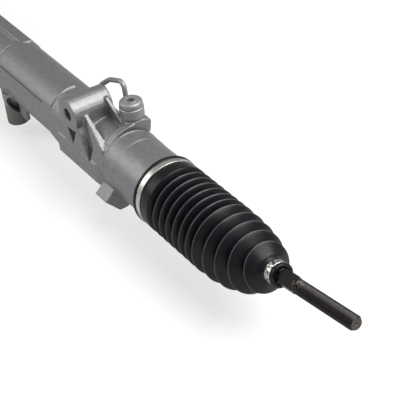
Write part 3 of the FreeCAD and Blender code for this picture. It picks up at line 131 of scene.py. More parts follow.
def add_node(tree: bpy.types.NodeTree, kind: str, inputs: dict[str | int, Any] | None = None,
             **settings: Any) -> bpy.types.Node:
    """Add a node with its settings, values and links.

    Args:
        tree: node tree that takes it.
        kind: Blender's node type.
        inputs: socket name or number, to a value or to another node's output socket.
        **settings: attributes of the node.

    Returns:
        The new node.
    """
    node = tree.nodes.new(kind)
    for key, value in settings.items():
        setattr(node, key, value)
    for key, value in (inputs or {}).items():
        if isinstance(value, Socket):
            tree.links.new(value, node.inputs[key])
        else:
            node.inputs[key].default_value = value
    return node


# Finishes

@dataclass
class Shader:
    """Node tree of one material, from the Principled shader back to its patterns."""

    name: str
    material: Material = field(init=False)
    bsdf: bpy.types.Node = field(init=False)

    def __post_init__(self) -> None:
        """Make the material with a clean Principled shader."""
        self.material = bpy.data.materials.new(self.name)
        self.material.use_nodes = True
        self.bsdf = self.material.node_tree.nodes["Principled BSDF"]

    def add(self, kind: str, inputs: dict[str | int, Any] | None = None,
            **settings: Any) -> bpy.types.Node:
        """Add a node to the material, as add_node does."""
        return add_node(self.material.node_tree, kind, inputs, **settings)

    def feed(self, socket: str, source: Socket) -> None:
        """Link an output to a socket of the Principled shader."""
        self.material.node_tree.links.new(source, self.bsdf.inputs[socket])

    def place(self) -> Socket:
        """Object coordinates, in metres."""
        return self.add("ShaderNodeTexCoord").outputs["Object"]

    def noise(self, size_mm: float, detail: float = 2.0, rough: float = 0.5,
              where: Socket | None = None) -> Socket:
        """Noise whose blobs are about a given size.

        Args:
            size_mm: real size of one blob.
            detail: octaves of finer noise.
            rough: share of the finer noise.
            where: coordinates, or the object's own.

        Returns:
            The noise value, from 0 to 1.
        """
        inputs = {"Vector": self.place() if where is None else where, "Scale": 1 / (size_mm * MM),
                  "Detail": detail, "Roughness": rough}
        return self.add("ShaderNodeTexNoise", inputs).outputs["Fac"]

    def mottle(self, pattern: Socket, *stops: tuple[float, str]) -> None:
        """Colour the surface between two stops, each a value of the pattern and an sRGB hex code."""
        node = self.add("ShaderNodeValToRGB", {"Fac": pattern})
        for element, (position, code) in zip(node.color_ramp.elements, stops):
            element.position = position
            element.color = linear(code)
        self.feed("Base Color", node.outputs["Color"])

    def span(self, source: Socket, low: float, high: float) -> Socket:
        """The source's 0 to 1 spread over another range."""
        inputs = {"Value": source, "To Min": low, "To Max": high}
        return self.add("ShaderNodeMapRange", inputs).outputs["Result"]

    def bump(self, source: Socket, depth_mm: float, strength: float = 1.0,
             under: Socket | None = None) -> Socket:
        """Bump of a real depth, on top of another bump if given."""
        inputs: dict[str | int, Any] = {"Height": source, "Distance": depth_mm * MM,
                                        "Strength": strength}
        if under is not None:
            inputs["Normal"] = under
        return self.add("ShaderNodeBump", inputs).outputs["Normal"]


@dataclass(frozen=True)
class Finish:
    """A plain finish with a fine, even grain."""

    name: str
    colour: str
    metallic: float
    roughness: float
    grain_mm: float = 0.6
    grain_depth_mm: float = 0.02
    spread: float = 0.06

    def shader(self) -> Shader:
        """Shader with the finish's own constant values."""
        shader = Shader(self.name)
        shader.bsdf.inputs["Base Color"].default_value = linear(self.colour)
        shader.bsdf.inputs["Metallic"].default_value = self.metallic
        shader.bsdf.inputs["Roughness"].default_value = self.roughness
        return shader

    def skin(self, shader: Shader, grain: Socket, sheen: Socket | None = None,
             under: Socket | None = None) -> None:
        """Raise the grain, and vary the roughness with it or with another pattern.

        Args:
            shader: material that takes the skin.
            grain: height of the grain.
            sheen: pattern of the roughness, or the grain's own.
            under: bump that the grain lies on.
        """
        low, high = self.roughness - self.spread, self.roughness + self.spread
        shader.feed("Roughness", shader.span(grain if sheen is None else sheen, low, high))
        shader.feed("Normal", shader.bump(grain, self.grain_depth_mm, under=under))

    def material(self) -> Material:
        """Build the material."""
        shader = self.shader()
        self.skin(shader, shader.noise(self.grain_mm, 3.0))
        return shader.material


@dataclass(frozen=True)
class BlastedAluminium(Finish):
    """Sand-cast aluminium, shot blasted: an even satin grey, softly mottled, with a fine pitted skin.

    The grit marks are about 0.3 mm on the real casting and are drawn at 0.9 mm, as fine as shows.
    """

    dark: str = "#868687"
    blotch_mm: float = 5.0
    wave_mm: float = 11.0
    wave_depth_mm: float = 0.15

    def material(self) -> Material:
        """Build the material."""
        shader = self.shader()
        blotch = shader.noise(self.blotch_mm, 8.0, 0.8)
        shader.mottle(blotch, (0.3, self.dark), (0.7, self.colour))
        waves = shader.bump(shader.noise(self.wave_mm, 1.0), self.wave_depth_mm, 0.5)
        self.skin(shader, shader.noise(self.grain_mm, 2.0, 0.6), under=waves)
        return shader.material


@dataclass(frozen=True)
class MouldedRubber(Finish):
    """Compression-moulded rubber: near black with a faint blue, a satin sheen and a fine bloom."""

    bloom: str = "#1C1D20"
    gloss: float = 0.5
    cloud_mm: float = 6.0

    def material(self) -> Material:
        """Build the material."""
        shader = self.shader()
        shader.bsdf.inputs["Specular IOR Level"].default_value = self.gloss
        cloud = shader.noise(self.cloud_mm, 3.0, 0.6)
        shader.mottle(cloud, (0.35, self.colour), (0.8, self.bloom))
        self.skin(shader, shader.noise(self.grain_mm))
        return shader.material


@dataclass(frozen=True)
class RolledStrip(Finish):
    """Cold-rolled stainless strip: bright, with faint rolling lines along its length."""

    lines_mm: float = 0.5
    stain: str = "#C9C5C0"
    stain_mm: float = 8.0
    stain_from: float = 0.35
    stain_to: float = 0.65

    def material(self) -> Material:
        """Build the material."""
        shader = self.shader()
        inputs = {"Vector": shader.place(), "Scale": (1.0, 0.04, 0.04)}
        stretch = shader.add("ShaderNodeMapping", inputs)
        lines = shader.noise(self.lines_mm, where=stretch.outputs["Vector"])
        shader.mottle(shader.noise(self.stain_mm), (self.stain_from, self.stain),
                      (self.stain_to, self.colour))
        self.skin(shader, lines)
        return shader.material


@dataclass(frozen=True)
class PhosphatedSteel(Finish):
    """Manganese-phosphated steel, lightly oiled: brown-black, rubbed paler where threads have run."""

    rubbed: str = "#2C2522"
    wear_mm: float = 3.0
    wear_from: float = 0.45
    wear_to: float = 0.75

    def material(self) -> Material:
        """Build the material."""
        shader = self.shader()
        wear = shader.noise(self.wear_mm, 4.0, 0.65)
        shader.mottle(wear, (self.wear_from, self.colour), (self.wear_to, self.rubbed))
        self.skin(shader, shader.noise(self.grain_mm), sheen=wear)
        return shader.material


@dataclass(frozen=True)
class Palette:
    """Every finish of the gear, by what it is. The real grains are finer than the ones drawn."""

    # Even satin grey whose highlights spread wide.
    cast: Finish = BlastedAluminium("shot_blasted_cast_aluminium", "#A0A0A1", 0.8, 0.47, 0.9, 0.08,
                                    0.05)
    # Deep black folds with a narrow cool sheen.
    rubber: Finish = MouldedRubber("moulded_bellows_rubber", "#0A0A0E", 0.0, 0.34, 0.5, 0.01, 0.04,
                                   "#16161C", 0.32)
    # Painted highlight: a thin pale line along each fold's edge, standing in for the glint of the lamp
    # on the crests.
    crest_highlight: Finish = MouldedRubber("rubber_rubbed_pale_on_the_crests", "#313136", 0.0, 0.36, 0.5,
                                    0.01, 0.04, "#505056")
    # Dull dark ring under the dust cover.
    seal: Finish = MouldedRubber("moulded_seal_rubber", "#1F1F20", 0.0, 0.6, 0.5, 0.01, 0.04)
    # Bright ring that parts the grey neck from the black rubber.
    strip: Finish = RolledStrip("rolled_stainless_strip", "#E8E4DF", 1.0, 0.36, 0.4, 0.01, 0.05)
    # White glints broken by dark stains.
    spring: Finish = RolledStrip("stained_spring_strip", "#F2EFEA", 1.0, 0.3, 0.5, 0.05, 0.08, 0.6,
                                 "#4E4B48", 3.2, 0.36, 0.5)
    # Dark oiled steel with a soft stripe of light.
    rod: Finish = PhosphatedSteel("phosphated_steel", "#141212", 0.3, 0.27, 0.5, 0.02, 0.05)
    # Brown-black speckle over the turns of the thread; the real specks are finer.
    thread: Finish = PhosphatedSteel("phosphated_thread", "#0E0B0B", 0.3, 0.4, 0.5, 0.02, 0.06,
                                     "#2E2725", 1.3, 0.42, 0.62)
    # Grey flecks of bare steel on the first turns.
    bared: Finish = PhosphatedSteel("thread_bared_by_the_nut", "#171311", 0.6, 0.35, 0.5, 0.02, 0.06,
                                    "#77706A", 1.6, 0.5, 0.66)
    # Plain grey disc at the tip.
    faced: Finish = Finish("faced_steel_end", "#615C58", 0.9, 0.4, 0.7, 0.02, 0.05)
    # Painted shade: a darker, browner grey on the foot, which hangs in shade under the barrel.
    foot_shade: Finish = BlastedAluminium("casting_darkened_by_oil", "#85837D", 0.8, 0.46, 0.9, 0.08,
                                      0.05, "#6A6863")
    # Clean light grey of bolts and nuts.
    plated: Finish = Finish("zinc_plated_steel", "#A3A3A2", 0.85, 0.4, 0.7, 0.02, 0.05)
    # Duller grey of the lines and their fittings.
    satin: Finish = Finish("satin_zinc_plate", "#A0A0A0", 0.75, 0.5, 0.7, 0.03, 0.05)
    # Mirror-like inner shafts, with tight highlights.
    ground: Finish = Finish("ground_steel", "#A9A9AA", 1.0, 0.24, 0.4, 0.005, 0.05)
    # Dull brown-red edge of a crushed washer.
    copper: Finish = Finish("annealed_copper", "#7A5A49", 1.0, 0.5, 0.6, 0.01, 0.05)
    # Porous yellow metal of the bush.
    bronze: Finish = Finish("sintered_bronze", "#9A8148", 1.0, 0.5, 0.5, 0.03, 0.06)
    # Creamy white plastic of the bearing pads.
    acetal: Finish = Finish("natural_acetal", "#DDD8CB", 0.0, 0.45, 0.8, 0.01, 0.04)


SLOTS = {"cast_aluminium": "cast", "machined_steel": "ground", "phosphated_steel": "rod",
         "plated_steel": "plated", "stainless_band": "strip", "copper": "copper",
         "bronze_bush": "bronze", "bellows_rubber": "rubber", "seal_rubber": "seal",
         "bearing_plastic": "acetal"}


# Mesh making

@contextmanager
def editing(mesh: Mesh) -> Iterator[bmesh.types.BMesh]:
    """Open a mesh for editing and write it back."""
    shape = bmesh.new()
    shape.from_mesh(mesh)
    yield shape
    shape.to_mesh(mesh)
    shape.free()


def places_of(mesh: Mesh) -> np.ndarray:
    """Vertices of a mesh, in millimetres off the right-hand mouth."""
    flat = np.zeros(len(mesh.vertices) * 3)
    mesh.vertices.foreach_get("co", flat)
    return flat.reshape(-1, 3) / MM - np.array(MOUTH)


def move_to(mesh: Mesh, places: np.ndarray) -> None:
    """Move the vertices of a mesh, to millimetres off the right-hand mouth."""
    mesh.vertices.foreach_set("co", ((places + np.array(MOUTH)) * MM).ravel())


def link(name: str, data: bpy.types.ID) -> Object:
    """Put a mesh, a lamp or a camera into the scene as an object."""
    obj = bpy.data.objects.new(name, data)
    bpy.context.scene.collection.objects.link(obj)
    return obj


def shade(mesh: Mesh, crease_deg: float) -> None:
    """Smooth shading, with edges sharper than an angle kept crisp."""
    mesh.polygons.foreach_set("use_smooth", [True] * len(mesh.polygons))
    mesh.set_sharp_from_angle(angle=math.radians(crease_deg))
    mesh.update()


def ring(basis: Basis, angles: np.ndarray, radius: Radii) -> np.ndarray:
    """Points round a centre.

    Args:
        basis: centre in metres, and two cross directions.
        angles: angle of each point.
        radius: one radius, or one for each point, in millimetres.

    Returns:
        Points x 3, in metres.
    """
    centre, side, up = (np.array(part) for part in basis)
    across = np.outer(np.cos(angles), side) + np.outer(np.sin(angles), up)
    return centre + across * (np.broadcast_to(radius, angles.shape)[:, None] * MM)


def swept(name: str, rings: np.ndarray, closed: bool, crease_deg: float = 35.0) -> Object:
    """Solid from a grid of rings.

    Args:
        name: piece name.
        rings: rings x points x 3, in metres.
        closed: True where the last ring joins the first, False where each end ring is filled.
        crease_deg: angle above which an edge stays crisp.

    Returns:
        The new object.
    """
    count, around = rings.shape[:2]
    faces: list[tuple[int, ...]] = []
    for row in range(count if closed else count - 1):
        a, b = row * around, ((row + 1) % count) * around
        for step in range(around):
            other = (step + 1) % around
            faces.append((a + step, a + other, b + other, b + step))
    if not closed:
        faces.append(tuple(range(around - 1, -1, -1)))
        faces.append(tuple((count - 1) * around + step for step in range(around)))
    mesh = bpy.data.meshes.new(name)
    mesh.from_pydata(rings.reshape(-1, 3).tolist(), [], faces)
    with editing(mesh) as shape:
        bmesh.ops.recalc_face_normals(shape, faces=shape.faces)
    shade(mesh, crease_deg)
    return link(name, mesh)


def lathe(name: str, profile: Profile, basis: Callable[[float], Basis], segments: int,
          closed: bool = True, crease_deg: float = 35.0,
          radius: Callable[[float, np.ndarray, float], Radii] | None = None) -> Object:
    """Turned solid along a straight or bending axis.

    Args:
        name: piece name.
        profile: (station, radius) pairs.
        basis: centre and two cross directions of a station, the centre in metres.
        segments: points round each ring.
        closed: True where the profile is a closed loop.
        crease_deg: angle above which an edge stays crisp.
        radius: changes the radius round a ring, from the station, the angles and the plain radius.

    Returns:
        The new object.
    """
    angles = np.linspace(0, 2 * math.pi, segments, endpoint=False)
    rings = [ring(basis(station), angles, radius(station, angles, plain) if radius else plain)
             for station, plain in profile]
    return swept(name, np.array(rings), closed, crease_deg)


def finished(obj: Object, slot: str, finishes: Finishes, *entries: str) -> None:
    """Give a new piece the materials of some entries, and report it."""
    obj.data.materials.clear()
    for entry in entries:
        obj.data.materials.append(finishes[entry])
    LOG.info("%s: %d faces", obj.name, len(obj.data.polygons))


def copied_mesh(node: str) -> Mesh:
    """The frame's mesh of a node with its split corners joined again."""
    mesh = frame["nodes"][node].data.copy()
    with editing(mesh) as shape:
        bmesh.ops.remove_doubles(shape, verts=shape.verts, dist=2e-6)
    return mesh


# Sub-assemblies

@dataclass(frozen=True)
class Fairing:
    """Tapered wall that runs a raised strip out into the barrel, from its thick to its thin end."""

    thick_x: float
    thin_x: float
    thick: tuple[tuple[float, float], ...]
    thin: tuple[tuple[float, float], ...]

    def add_to(self, shape: bmesh.types.BMesh) -> None:
        """Add the closed wall to a mesh that is rebuilt afterwards."""
        first = [shape.verts.new(point(self.thick_x, y, z)) for y, z in self.thick]
        last = [shape.verts.new(point(self.thin_x, y, z)) for y, z in self.thin]
        made = [shape.faces.new(first), shape.faces.new(last[::-1])]
        for a, b, c, d in zip(first, first[1:] + first[:1], last[1:] + last[:1], last):
            made.append(shape.faces.new((b, a, d, c)))
        bmesh.ops.recalc_face_normals(shape, faces=made)


@dataclass(frozen=True)
class Hollow:
    """Groove or pocket pressed into a casting along a line, with a rounded floor."""

    start: tuple[float, float, float]
    end: tuple[float, float, float]
    inward: tuple[float, float, float]
    half_width: float
    depth: float
    flatness: float = 1.0

    def press_into(self, mesh: Mesh) -> None:
        """Move the skin inward near the line."""
        places = places_of(mesh)
        start, along = np.array(self.start), np.array(self.end) - np.array(self.start)
        share = np.clip((places - start) @ along / (along @ along), 0, 1)
        away = np.linalg.norm(places - start - share[:, None] * along, axis=1) / self.half_width
        depth = self.depth * np.clip((1 - away ** 2) * self.flatness, 0, 1)
        inward = np.array(self.inward) / np.linalg.norm(self.inward)
        move_to(mesh, places + depth[:, None] * inward)


@dataclass(frozen=True)
class RingGroove:
    """Groove round part of the barrel, which runs out at both ends."""

    station: float
    start_deg: float
    end_deg: float
    half_width: float
    depth: float
    run_out_deg: float = 9.0
    skin_band: tuple[float, float] = (BARREL_R - 2.0, BARREL_R + 4.0)

    def press_into(self, mesh: Mesh) -> None:
        """Move the skin toward the barrel's axis near the ring."""
        places = places_of(mesh)
        angle = np.degrees(np.arctan2(places[:, 2], places[:, 1]))
        reach = np.linalg.norm(places[:, 1:], axis=1)
        on_skin = (reach > self.skin_band[0]) & (reach < self.skin_band[1])
        away = np.abs(places[:, 0] - self.station) / self.half_width
        from_end = np.minimum(angle - self.start_deg, self.end_deg - angle)
        fade = np.clip(from_end / self.run_out_deg, 0, 1)
        depth = self.depth * np.clip(1 - away ** 2, 0, 1) * fade * on_skin
        places[:, 1:] *= (1 - depth / np.maximum(reach, 1.0))[:, None]
        move_to(mesh, places)


@dataclass
class Casting:
    """A casting whose corners are rounded by rebuilding its skin from small cells.

    The rounds are (start, end, radius) of surfaces turned about the rack's axis. The softened places
    and the places of painted shade are (centre, radius) balls.
    """

    node: str
    cell: float
    body: str = "housing"
    passes: int = 4
    rounds: Sequence[tuple[float, float, float]] = ()
    fairings: Sequence[Fairing] = ()
    hollows: Sequence[Hollow | RingGroove] = ()
    softened: Sequence[tuple[Vector, float]] = ()
    soft_passes: int = 14
    shaded_at: Sequence[tuple[Vector, float]] = ()
    true_within: float = 0.5

    def build(self, finishes: Finishes) -> None:
        """Round the corners and put the casting in the place of its plain solid.

        Args:
            finishes: every material, by its entry in the palette.
        """
        mesh = copied_mesh(self.node)
        with editing(mesh) as shape:
            for fairing in self.fairings:
                fairing.add_to(shape)
        obj = link("cast_" + self.node, mesh)
        obj.data = mesh = self.rebuilt(obj)
        self.true_up(mesh)
        for hollow in self.hollows:
            hollow.press_into(mesh)
        self.soften(mesh)
        shade(mesh, 180.0)
        finished(obj, "cast_aluminium", finishes, "cast", "foot_shade")
        # Faces near the foot take the second material, a painted shade.
        for centre, radius in self.shaded_at:
            for face in mesh.polygons:
                if (face.center - point(*centre)).length < radius * MM:
                    face.material_index = 1
        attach(obj, self.body)
        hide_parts(self.node)

    def rebuilt(self, obj: Object) -> Mesh:
        """Skin of an object rebuilt from cells, with its corners smoothed."""
        cells = obj.modifiers.new("cells", "REMESH")
        cells.mode = "VOXEL"
        cells.voxel_size = self.cell * MM * 1.0
        smooth = obj.modifiers.new("corners", "SMOOTH")
        smooth.factor = 0.5
        smooth.iterations = self.passes
        graph = bpy.context.evaluated_depsgraph_get()
        mesh = bpy.data.meshes.new_from_object(obj.evaluated_get(graph))
        obj.modifiers.clear()
        return mesh

    def true_up(self, mesh: Mesh) -> None:
        """Bring points that lie close to a turned surface onto it."""
        places = places_of(mesh)
        for start, end, radius in self.rounds:
            reach = np.linalg.norm(places[:, 1:], axis=1)
            near = np.abs(reach - radius) < self.true_within
            near &= (places[:, 0] > start) & (places[:, 0] < end)
            places[near, 1:] *= (radius / reach[near])[:, None]
        move_to(mesh, places)

    def soften(self, mesh: Mesh) -> None:
        """Blend small steps away inside the softened balls."""
        with editing(mesh) as shape:
            for centre, radius in self.softened:
                inside = [v for v in shape.verts if (v.co - point(*centre)).length < radius * MM]
                for _ in range(self.soft_passes):
                    bmesh.ops.smooth_vert(shape, verts=inside, factor=0.5, use_axis_x=True,
                                          use_axis_y=True, use_axis_z=True)


@dataclass
class Bellows:
    """Rubber bellows: cuff, shoulder, eight folds, four nested bells and a small cuff with a bead."""

    side: Side
    lip_start: float = -0.6
    lip_end: float = 4.0
    lip_round: float = 0.5
    mouth_r: float = 42.0
    cuff_r: float = 40.3
    cuff_end: float = 13.2
    shoulder_r: float = 41.2
    crest_r: float = 41.5
    first_crest: float = 27.0
    pitch: float = 12.47
    folds: int = 8
    fold_depth: float = 14.0
    fold_root: float = 0.56
    root_width: float = 0.8
    flank_power: float = 1.2
    bells: int = 4
    bell_end: float = 190.0
    bell_depth: float = 14.5
    bell_root: float = 0.62
    taper: float = 100.0
    cone_power: float = 1.12
    crest_round: float = 0.9
    crest_drop: float = 0.55
    # Reach of the painted highlight on each side of a crest's edge.
    highlight_width: float = 0.75
    neck_start: float = 200.5
    neck_r: float = 11.4
    bead_start: float = 212.4
    bead_r: float = 13.4
    bead_round: float = 0.6
    end: float = 217.6
    wall: float = 1.6
    bore_r: float = 8.6
    bend_length: float = 94.0
    bend_power: float = 1.6
    parting_deg: float = 30.0
    parting_from_r: float = 14.0
    parting_height: float = 0.3
    parting_half_width: float = 0.9
    segments: int = 160

    @property
    def bells_from(self) -> float:
        """Station of the last even crest, where the bells begin."""
        return self.first_crest + (self.folds - 1) * self.pitch

    @property
    def bell_length(self) -> float:
        """Distance from one bell's crest to the next."""
        return (self.bell_end - self.bells_from) / self.bells

    def centre(self, station: float) -> Vector:
        """Middle of the bellows: on the rack axis first, then bending up onto the rod."""
        reach = station - BALL_REACH
        weight = min(max(reach / self.bend_length, 0.0), 1.0) ** self.bend_power
        ahead = reach * (1 - weight * (1 - math.cos(ROD_TILT)))
        return point(BALL_REACH + ahead, 0.0, weight * reach * math.sin(ROD_TILT))

    def basis(self, station: float) -> Basis:
        """Centre and cross directions of a station."""
        ahead = (self.centre(station + 0.5) - self.centre(station - 0.5)).normalized()
        side = Vector((0, 1, 0))
        return self.centre(station), side, side.cross(ahead).normalized()

    def fold(self, start: float, end: float, high: float, following: float, depth: float,
             share: float) -> Profile:
        """Points from just after one sharp crest, down its flank to the root and up to the next crest.

        Args:
            start: station of the first crest.
            end: station of the next crest.
            high: radius of the first crest.
            following: radius of the next crest.
            depth: how far the root lies inside the next crest.
            share: place of the root, as a share of the way.

        Returns:
            (station, radius) pairs.
        """
        root, middle = following - depth, start + (end - start) * share
        begin, top = start + self.crest_round, high - self.crest_drop
        points = [(begin + (middle - begin) * t, top - (top - root) * t ** self.flank_power)
                  for t in shares(12)]
        foot, rise = middle + self.root_width, end - self.crest_round - middle - self.root_width
        climb = following - self.crest_round - root
        points += [(foot + rise * t, root + climb * t) for t in shares(5)]
        return points + self.crest(end, following)

    def crest(self, station: float, radius: float) -> Profile:
        """Rounded edge of a fold: tight toward the mouth, easing into the flank."""
        angles = [math.pi / 2 * (1 - t) for t in shares(5)]
        points = [(station - self.crest_round * math.sin(angle),
                   radius - self.crest_round * (1 - math.cos(angle))) for angle in angles]
        return points + self.easing(station, radius)

    def easing(self, station: float, radius: float) -> Profile:
        """Two points from a crest's edge to the top of its flank."""
        return [(station + 0.5 * self.crest_round, radius - 0.25 * self.crest_drop),
                (station + self.crest_round, radius - self.crest_drop)]

    def opening(self) -> Profile:
        """Lip at the mouth, seat of the clamp, and shoulder up to the first crest."""
        lip, end, soft = self.lip_start, self.lip_end, self.lip_round
        step, seat = 0.3, self.cuff_end
        points = [(lip, self.mouth_r - soft), (lip + soft - 0.1, self.mouth_r),
                  (end - soft - 0.1, self.mouth_r), (end - 0.1, self.mouth_r - soft),
                  (end, self.cuff_r), (seat, self.cuff_r), (seat + step, self.shoulder_r - 0.4),
                  (seat + 3 * step, self.shoulder_r)]
        start, length = seat + 3 * step, self.first_crest - seat - 4 * step
        swell = self.crest_r - self.shoulder_r
        points += [(start + length * t, self.shoulder_r + swell * math.sin(t * math.pi / 2))
                   for t in shares(6)]
        return points + self.easing(self.first_crest, self.crest_r)

    def outline(self) -> Profile:
        """Outer profile from the mouth to the small end."""
        points, crest = self.opening(), self.first_crest
        for _ in range(self.folds - 1):
            points += self.fold(crest, crest + self.pitch, self.crest_r, self.crest_r,
                                self.fold_depth, self.fold_root)
            crest += self.pitch
        radius, length = self.crest_r, (self.bell_end - crest) / self.bells
        for step in range(1, self.bells + 1):
            following = self.crest_r * math.sqrt(1 - (step * length / self.taper) ** 2)
            points += self.fold(crest + (step - 1) * length, crest + step * length, radius,
                                following, self.bell_depth, self.bell_root)
            radius = following
        return points + self.closing(radius)

    def closing(self, radius: float) -> Profile:
        """Last cone down to the neck, the clamp's seat and the end bead."""
        begin, soft = self.bell_end + self.crest_round, self.bead_round
        drop = radius - self.crest_drop - self.neck_r
        points = [(begin + (self.neck_start - begin) * t,
                   self.neck_r + drop * (1 - t) ** self.cone_power) for t in shares(12)]
        return points + [(self.neck_start + 1.5, self.neck_r),
                         (self.bead_start - soft / 2, self.neck_r),
                         (self.bead_start, self.bead_r - soft), (self.bead_start + soft, self.bead_r),
                         (self.end - 2 * soft, self.bead_r), (self.end - soft / 2, self.bead_r - soft),
                         (self.end, self.bead_r - soft - 1.0)]

    def seam(self, bell: int) -> float:
        """Station of the root before a bell's crest, where one length meets the next unseen."""
        return self.bells_from + (bell + self.bell_root) * self.bell_length

    def crests(self) -> np.ndarray:
        """Stations of all the crests."""
        return np.concatenate([self.first_crest + self.pitch * np.arange(self.folds),
                               self.bells_from + self.bell_length * np.arange(1, self.bells + 1)])

    def highlight_faces(self, part: Profile, faces: int) -> np.ndarray:
        """Material number of each face: 1, the painted highlight, along the crests' edges, apart from
        the first.
        """
        middles = np.array([(a[0] + b[0]) / 2 for a, b in zip(part[:-1], part[1:])])
        away = np.abs(middles[:, None] - self.crests()[None, 1:]).min(axis=1)
        highlighted = np.zeros(faces, dtype=np.int32)
        highlighted[:len(middles) * self.segments] = np.repeat(away < self.highlight_width, self.segments)
        return highlighted

    def build(self, finishes: Finishes) -> None:
        """Build the bellows in three lengths, whose middle bends up from the rack's axis onto the rod.

        Args:
            finishes: every material, by its entry in the palette.
        """
        outer = self.outline()
        bounds = (self.lip_start, self.seam(0), self.seam(1), self.end)
        chain = ("housing", "rack", self.side.body("seat"), self.side.body("rod"))
        for index, length in enumerate(("folds", "bells", "neck")):
            low, high = bounds[index], bounds[index + 1]
            part = [p for p in outer if low <= p[0] <= high]
            if index > 0:
                part.insert(0, self.cut_point(outer, low))
            if index < 2:
                part.append(self.cut_point(outer, high))
            inner = [(station, max(radius - self.wall, self.bore_r))
                     for station, radius in reversed(part)]
            obj = lathe(self.side.body("bellows_" + length), part + inner, self.basis,
                        self.segments, crease_deg=50.0, radius=self.parting_line)
            obj.data.transform(self.side.matrix)
            finished(obj, "bellows_rubber", finishes, "rubber", "crest_highlight")
            # The second material paints a highlight along the crests' edges.
            highlighted = self.highlight_faces(part, len(obj.data.polygons))
            obj.data.polygons.foreach_set("material_index", highlighted)
            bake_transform(obj)
        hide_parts(self.side.body("bellows"))

    @staticmethod
    def cut_point(outline: Profile, station: float) -> tuple[float, float]:
        """Point of the outline at a station."""
        stations, radii = zip(*outline)
        return station, float(np.interp(station, stations, radii))

    def parting_line(self, _: float, angles: np.ndarray, plain: float) -> Radii:
        """Thin ridge where the two halves of the mould met."""
        if plain < self.parting_from_r:
            return plain
        away = np.abs(np.angle(np.exp(1j * (angles - math.radians(self.parting_deg)))))
        away = np.minimum(away, math.pi - away) * plain
        ridge = np.clip(1 - away / self.parting_half_width, 0.0, 1.0)
        return plain + self.parting_height * ridge


@dataclass
class TieRod:
    """Ball pin, turned rod, wrench hexagon and fine external thread, measured from the ball."""

    side: Side
    ball_r: float = 14.0
    neck_r: float = 7.5
    neck_end: float = 40.0
    rod_start: float = 58.0
    rod_r: float = 9.0
    groove_r: float = 8.2
    groove_start: float = 94.0
    groove_end: float = 113.0
    wrench_r: float = 9.6
    wrench_flats: float = 16.2
    wrench_end: float = 137.0
    wear_length: float = 12.0
    tip: float = 227.0
    thread_r: float = 8.0
    thread_pitch: float = 1.5
    thread_depth: float = 0.75
    run_in: float = 2.0
    chamfer: float = 1.6
    drill_r: float = 1.6
    drill_depth: float = 2.0
    around: int = 72

    def basis(self, station: float) -> Basis:
        """Centre and cross directions at a distance from the ball."""
        axis = Vector((math.cos(ROD_TILT), 0.0, math.sin(ROD_TILT)))
        up = Vector((-math.sin(ROD_TILT), 0, math.cos(ROD_TILT)))
        return point(BALL_REACH) + axis * (station * MM), Vector((0, 1, 0)), up

    def radius(self, station: float, angles: np.ndarray, plain: float) -> Radii:
        """Hexagon on the wrench part and a helical thread beyond it."""
        if self.groove_end + 0.4 <= station <= self.wrench_end - 1.0:
            turn = np.mod(angles, math.pi / 3) - math.pi / 6
            return np.minimum(plain, self.wrench_flats / 2 / np.cos(turn))
        start = self.wrench_end + self.run_in
        if start < station and plain > self.thread_r - 0.01:
            phase = np.mod(station / self.thread_pitch - angles / (2 * math.pi), 1.0)
            cut = np.abs(phase * 2 - 1) ** 0.8
            return plain - self.thread_depth * min(1.0, (station - start) / self.run_in) * cut
        return plain

    def profile(self) -> Profile:
        """Turned outline from the ball to the tip."""
        sweep = math.pi - math.asin(self.neck_r / self.ball_r)
        angles = [math.pi - sweep * share for share in [0.0] + shares(16)]
        points = [(self.ball_r * math.cos(angle), max(0.05, self.ball_r * math.sin(angle)))
                  for angle in angles]
        points += [(self.neck_end, self.neck_r), (self.rod_start, self.rod_r),
                   (self.groove_start, self.rod_r), (self.groove_start + 0.5, self.groove_r),
                   (self.groove_end - 0.2, self.groove_r), (self.groove_end, self.wrench_r - 0.8),
                   (self.groove_end + 0.4, self.wrench_r - 0.4),
                   (self.groove_end + 0.8, self.wrench_r), (self.wrench_end - 1.6, self.wrench_r),
                   (self.wrench_end - 1.0, self.wrench_r - 0.3), (self.wrench_end, self.thread_r)]
        step = self.thread_pitch / 8
        rings = int((self.tip - self.chamfer - self.wrench_end - 0.5) / step)
        points += [(self.wrench_end + row * step, self.thread_r) for row in range(1, rings + 1)]
        low = self.thread_r - self.chamfer
        return points + [(self.tip - 0.2, low + 0.1), (self.tip, low - 0.2),
                         (self.tip, self.drill_r), (self.tip - self.drill_depth, 0.1)]

    def build(self, finishes: Finishes) -> None:
        """Build the rod in the place of its plain solid.

        Args:
            finishes: every material, by its entry in the palette.
        """
        profile = self.profile()
        obj = lathe(self.side.body("threaded_rod"), profile, self.basis, self.around, False, 30.0,
                    self.radius)
        obj.data.transform(self.side.matrix)
        finished(obj, "phosphated_steel", finishes, "rod", "thread", "bared", "faced")
        limits = (self.wrench_end, self.wrench_end + self.wear_length, self.tip - 0.1)
        length = np.digitize([station for station, _ in profile[:-1]], limits)
        finish = np.array([0, 2, 1, 3])[length]
        index = np.concatenate([np.repeat(finish, self.around), [0, 3]])
        obj.data.polygons.foreach_set("material_index", index.astype(np.int32))
        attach(obj, self.side.body("rod"))
        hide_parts(self.side.body("tie_rod"))


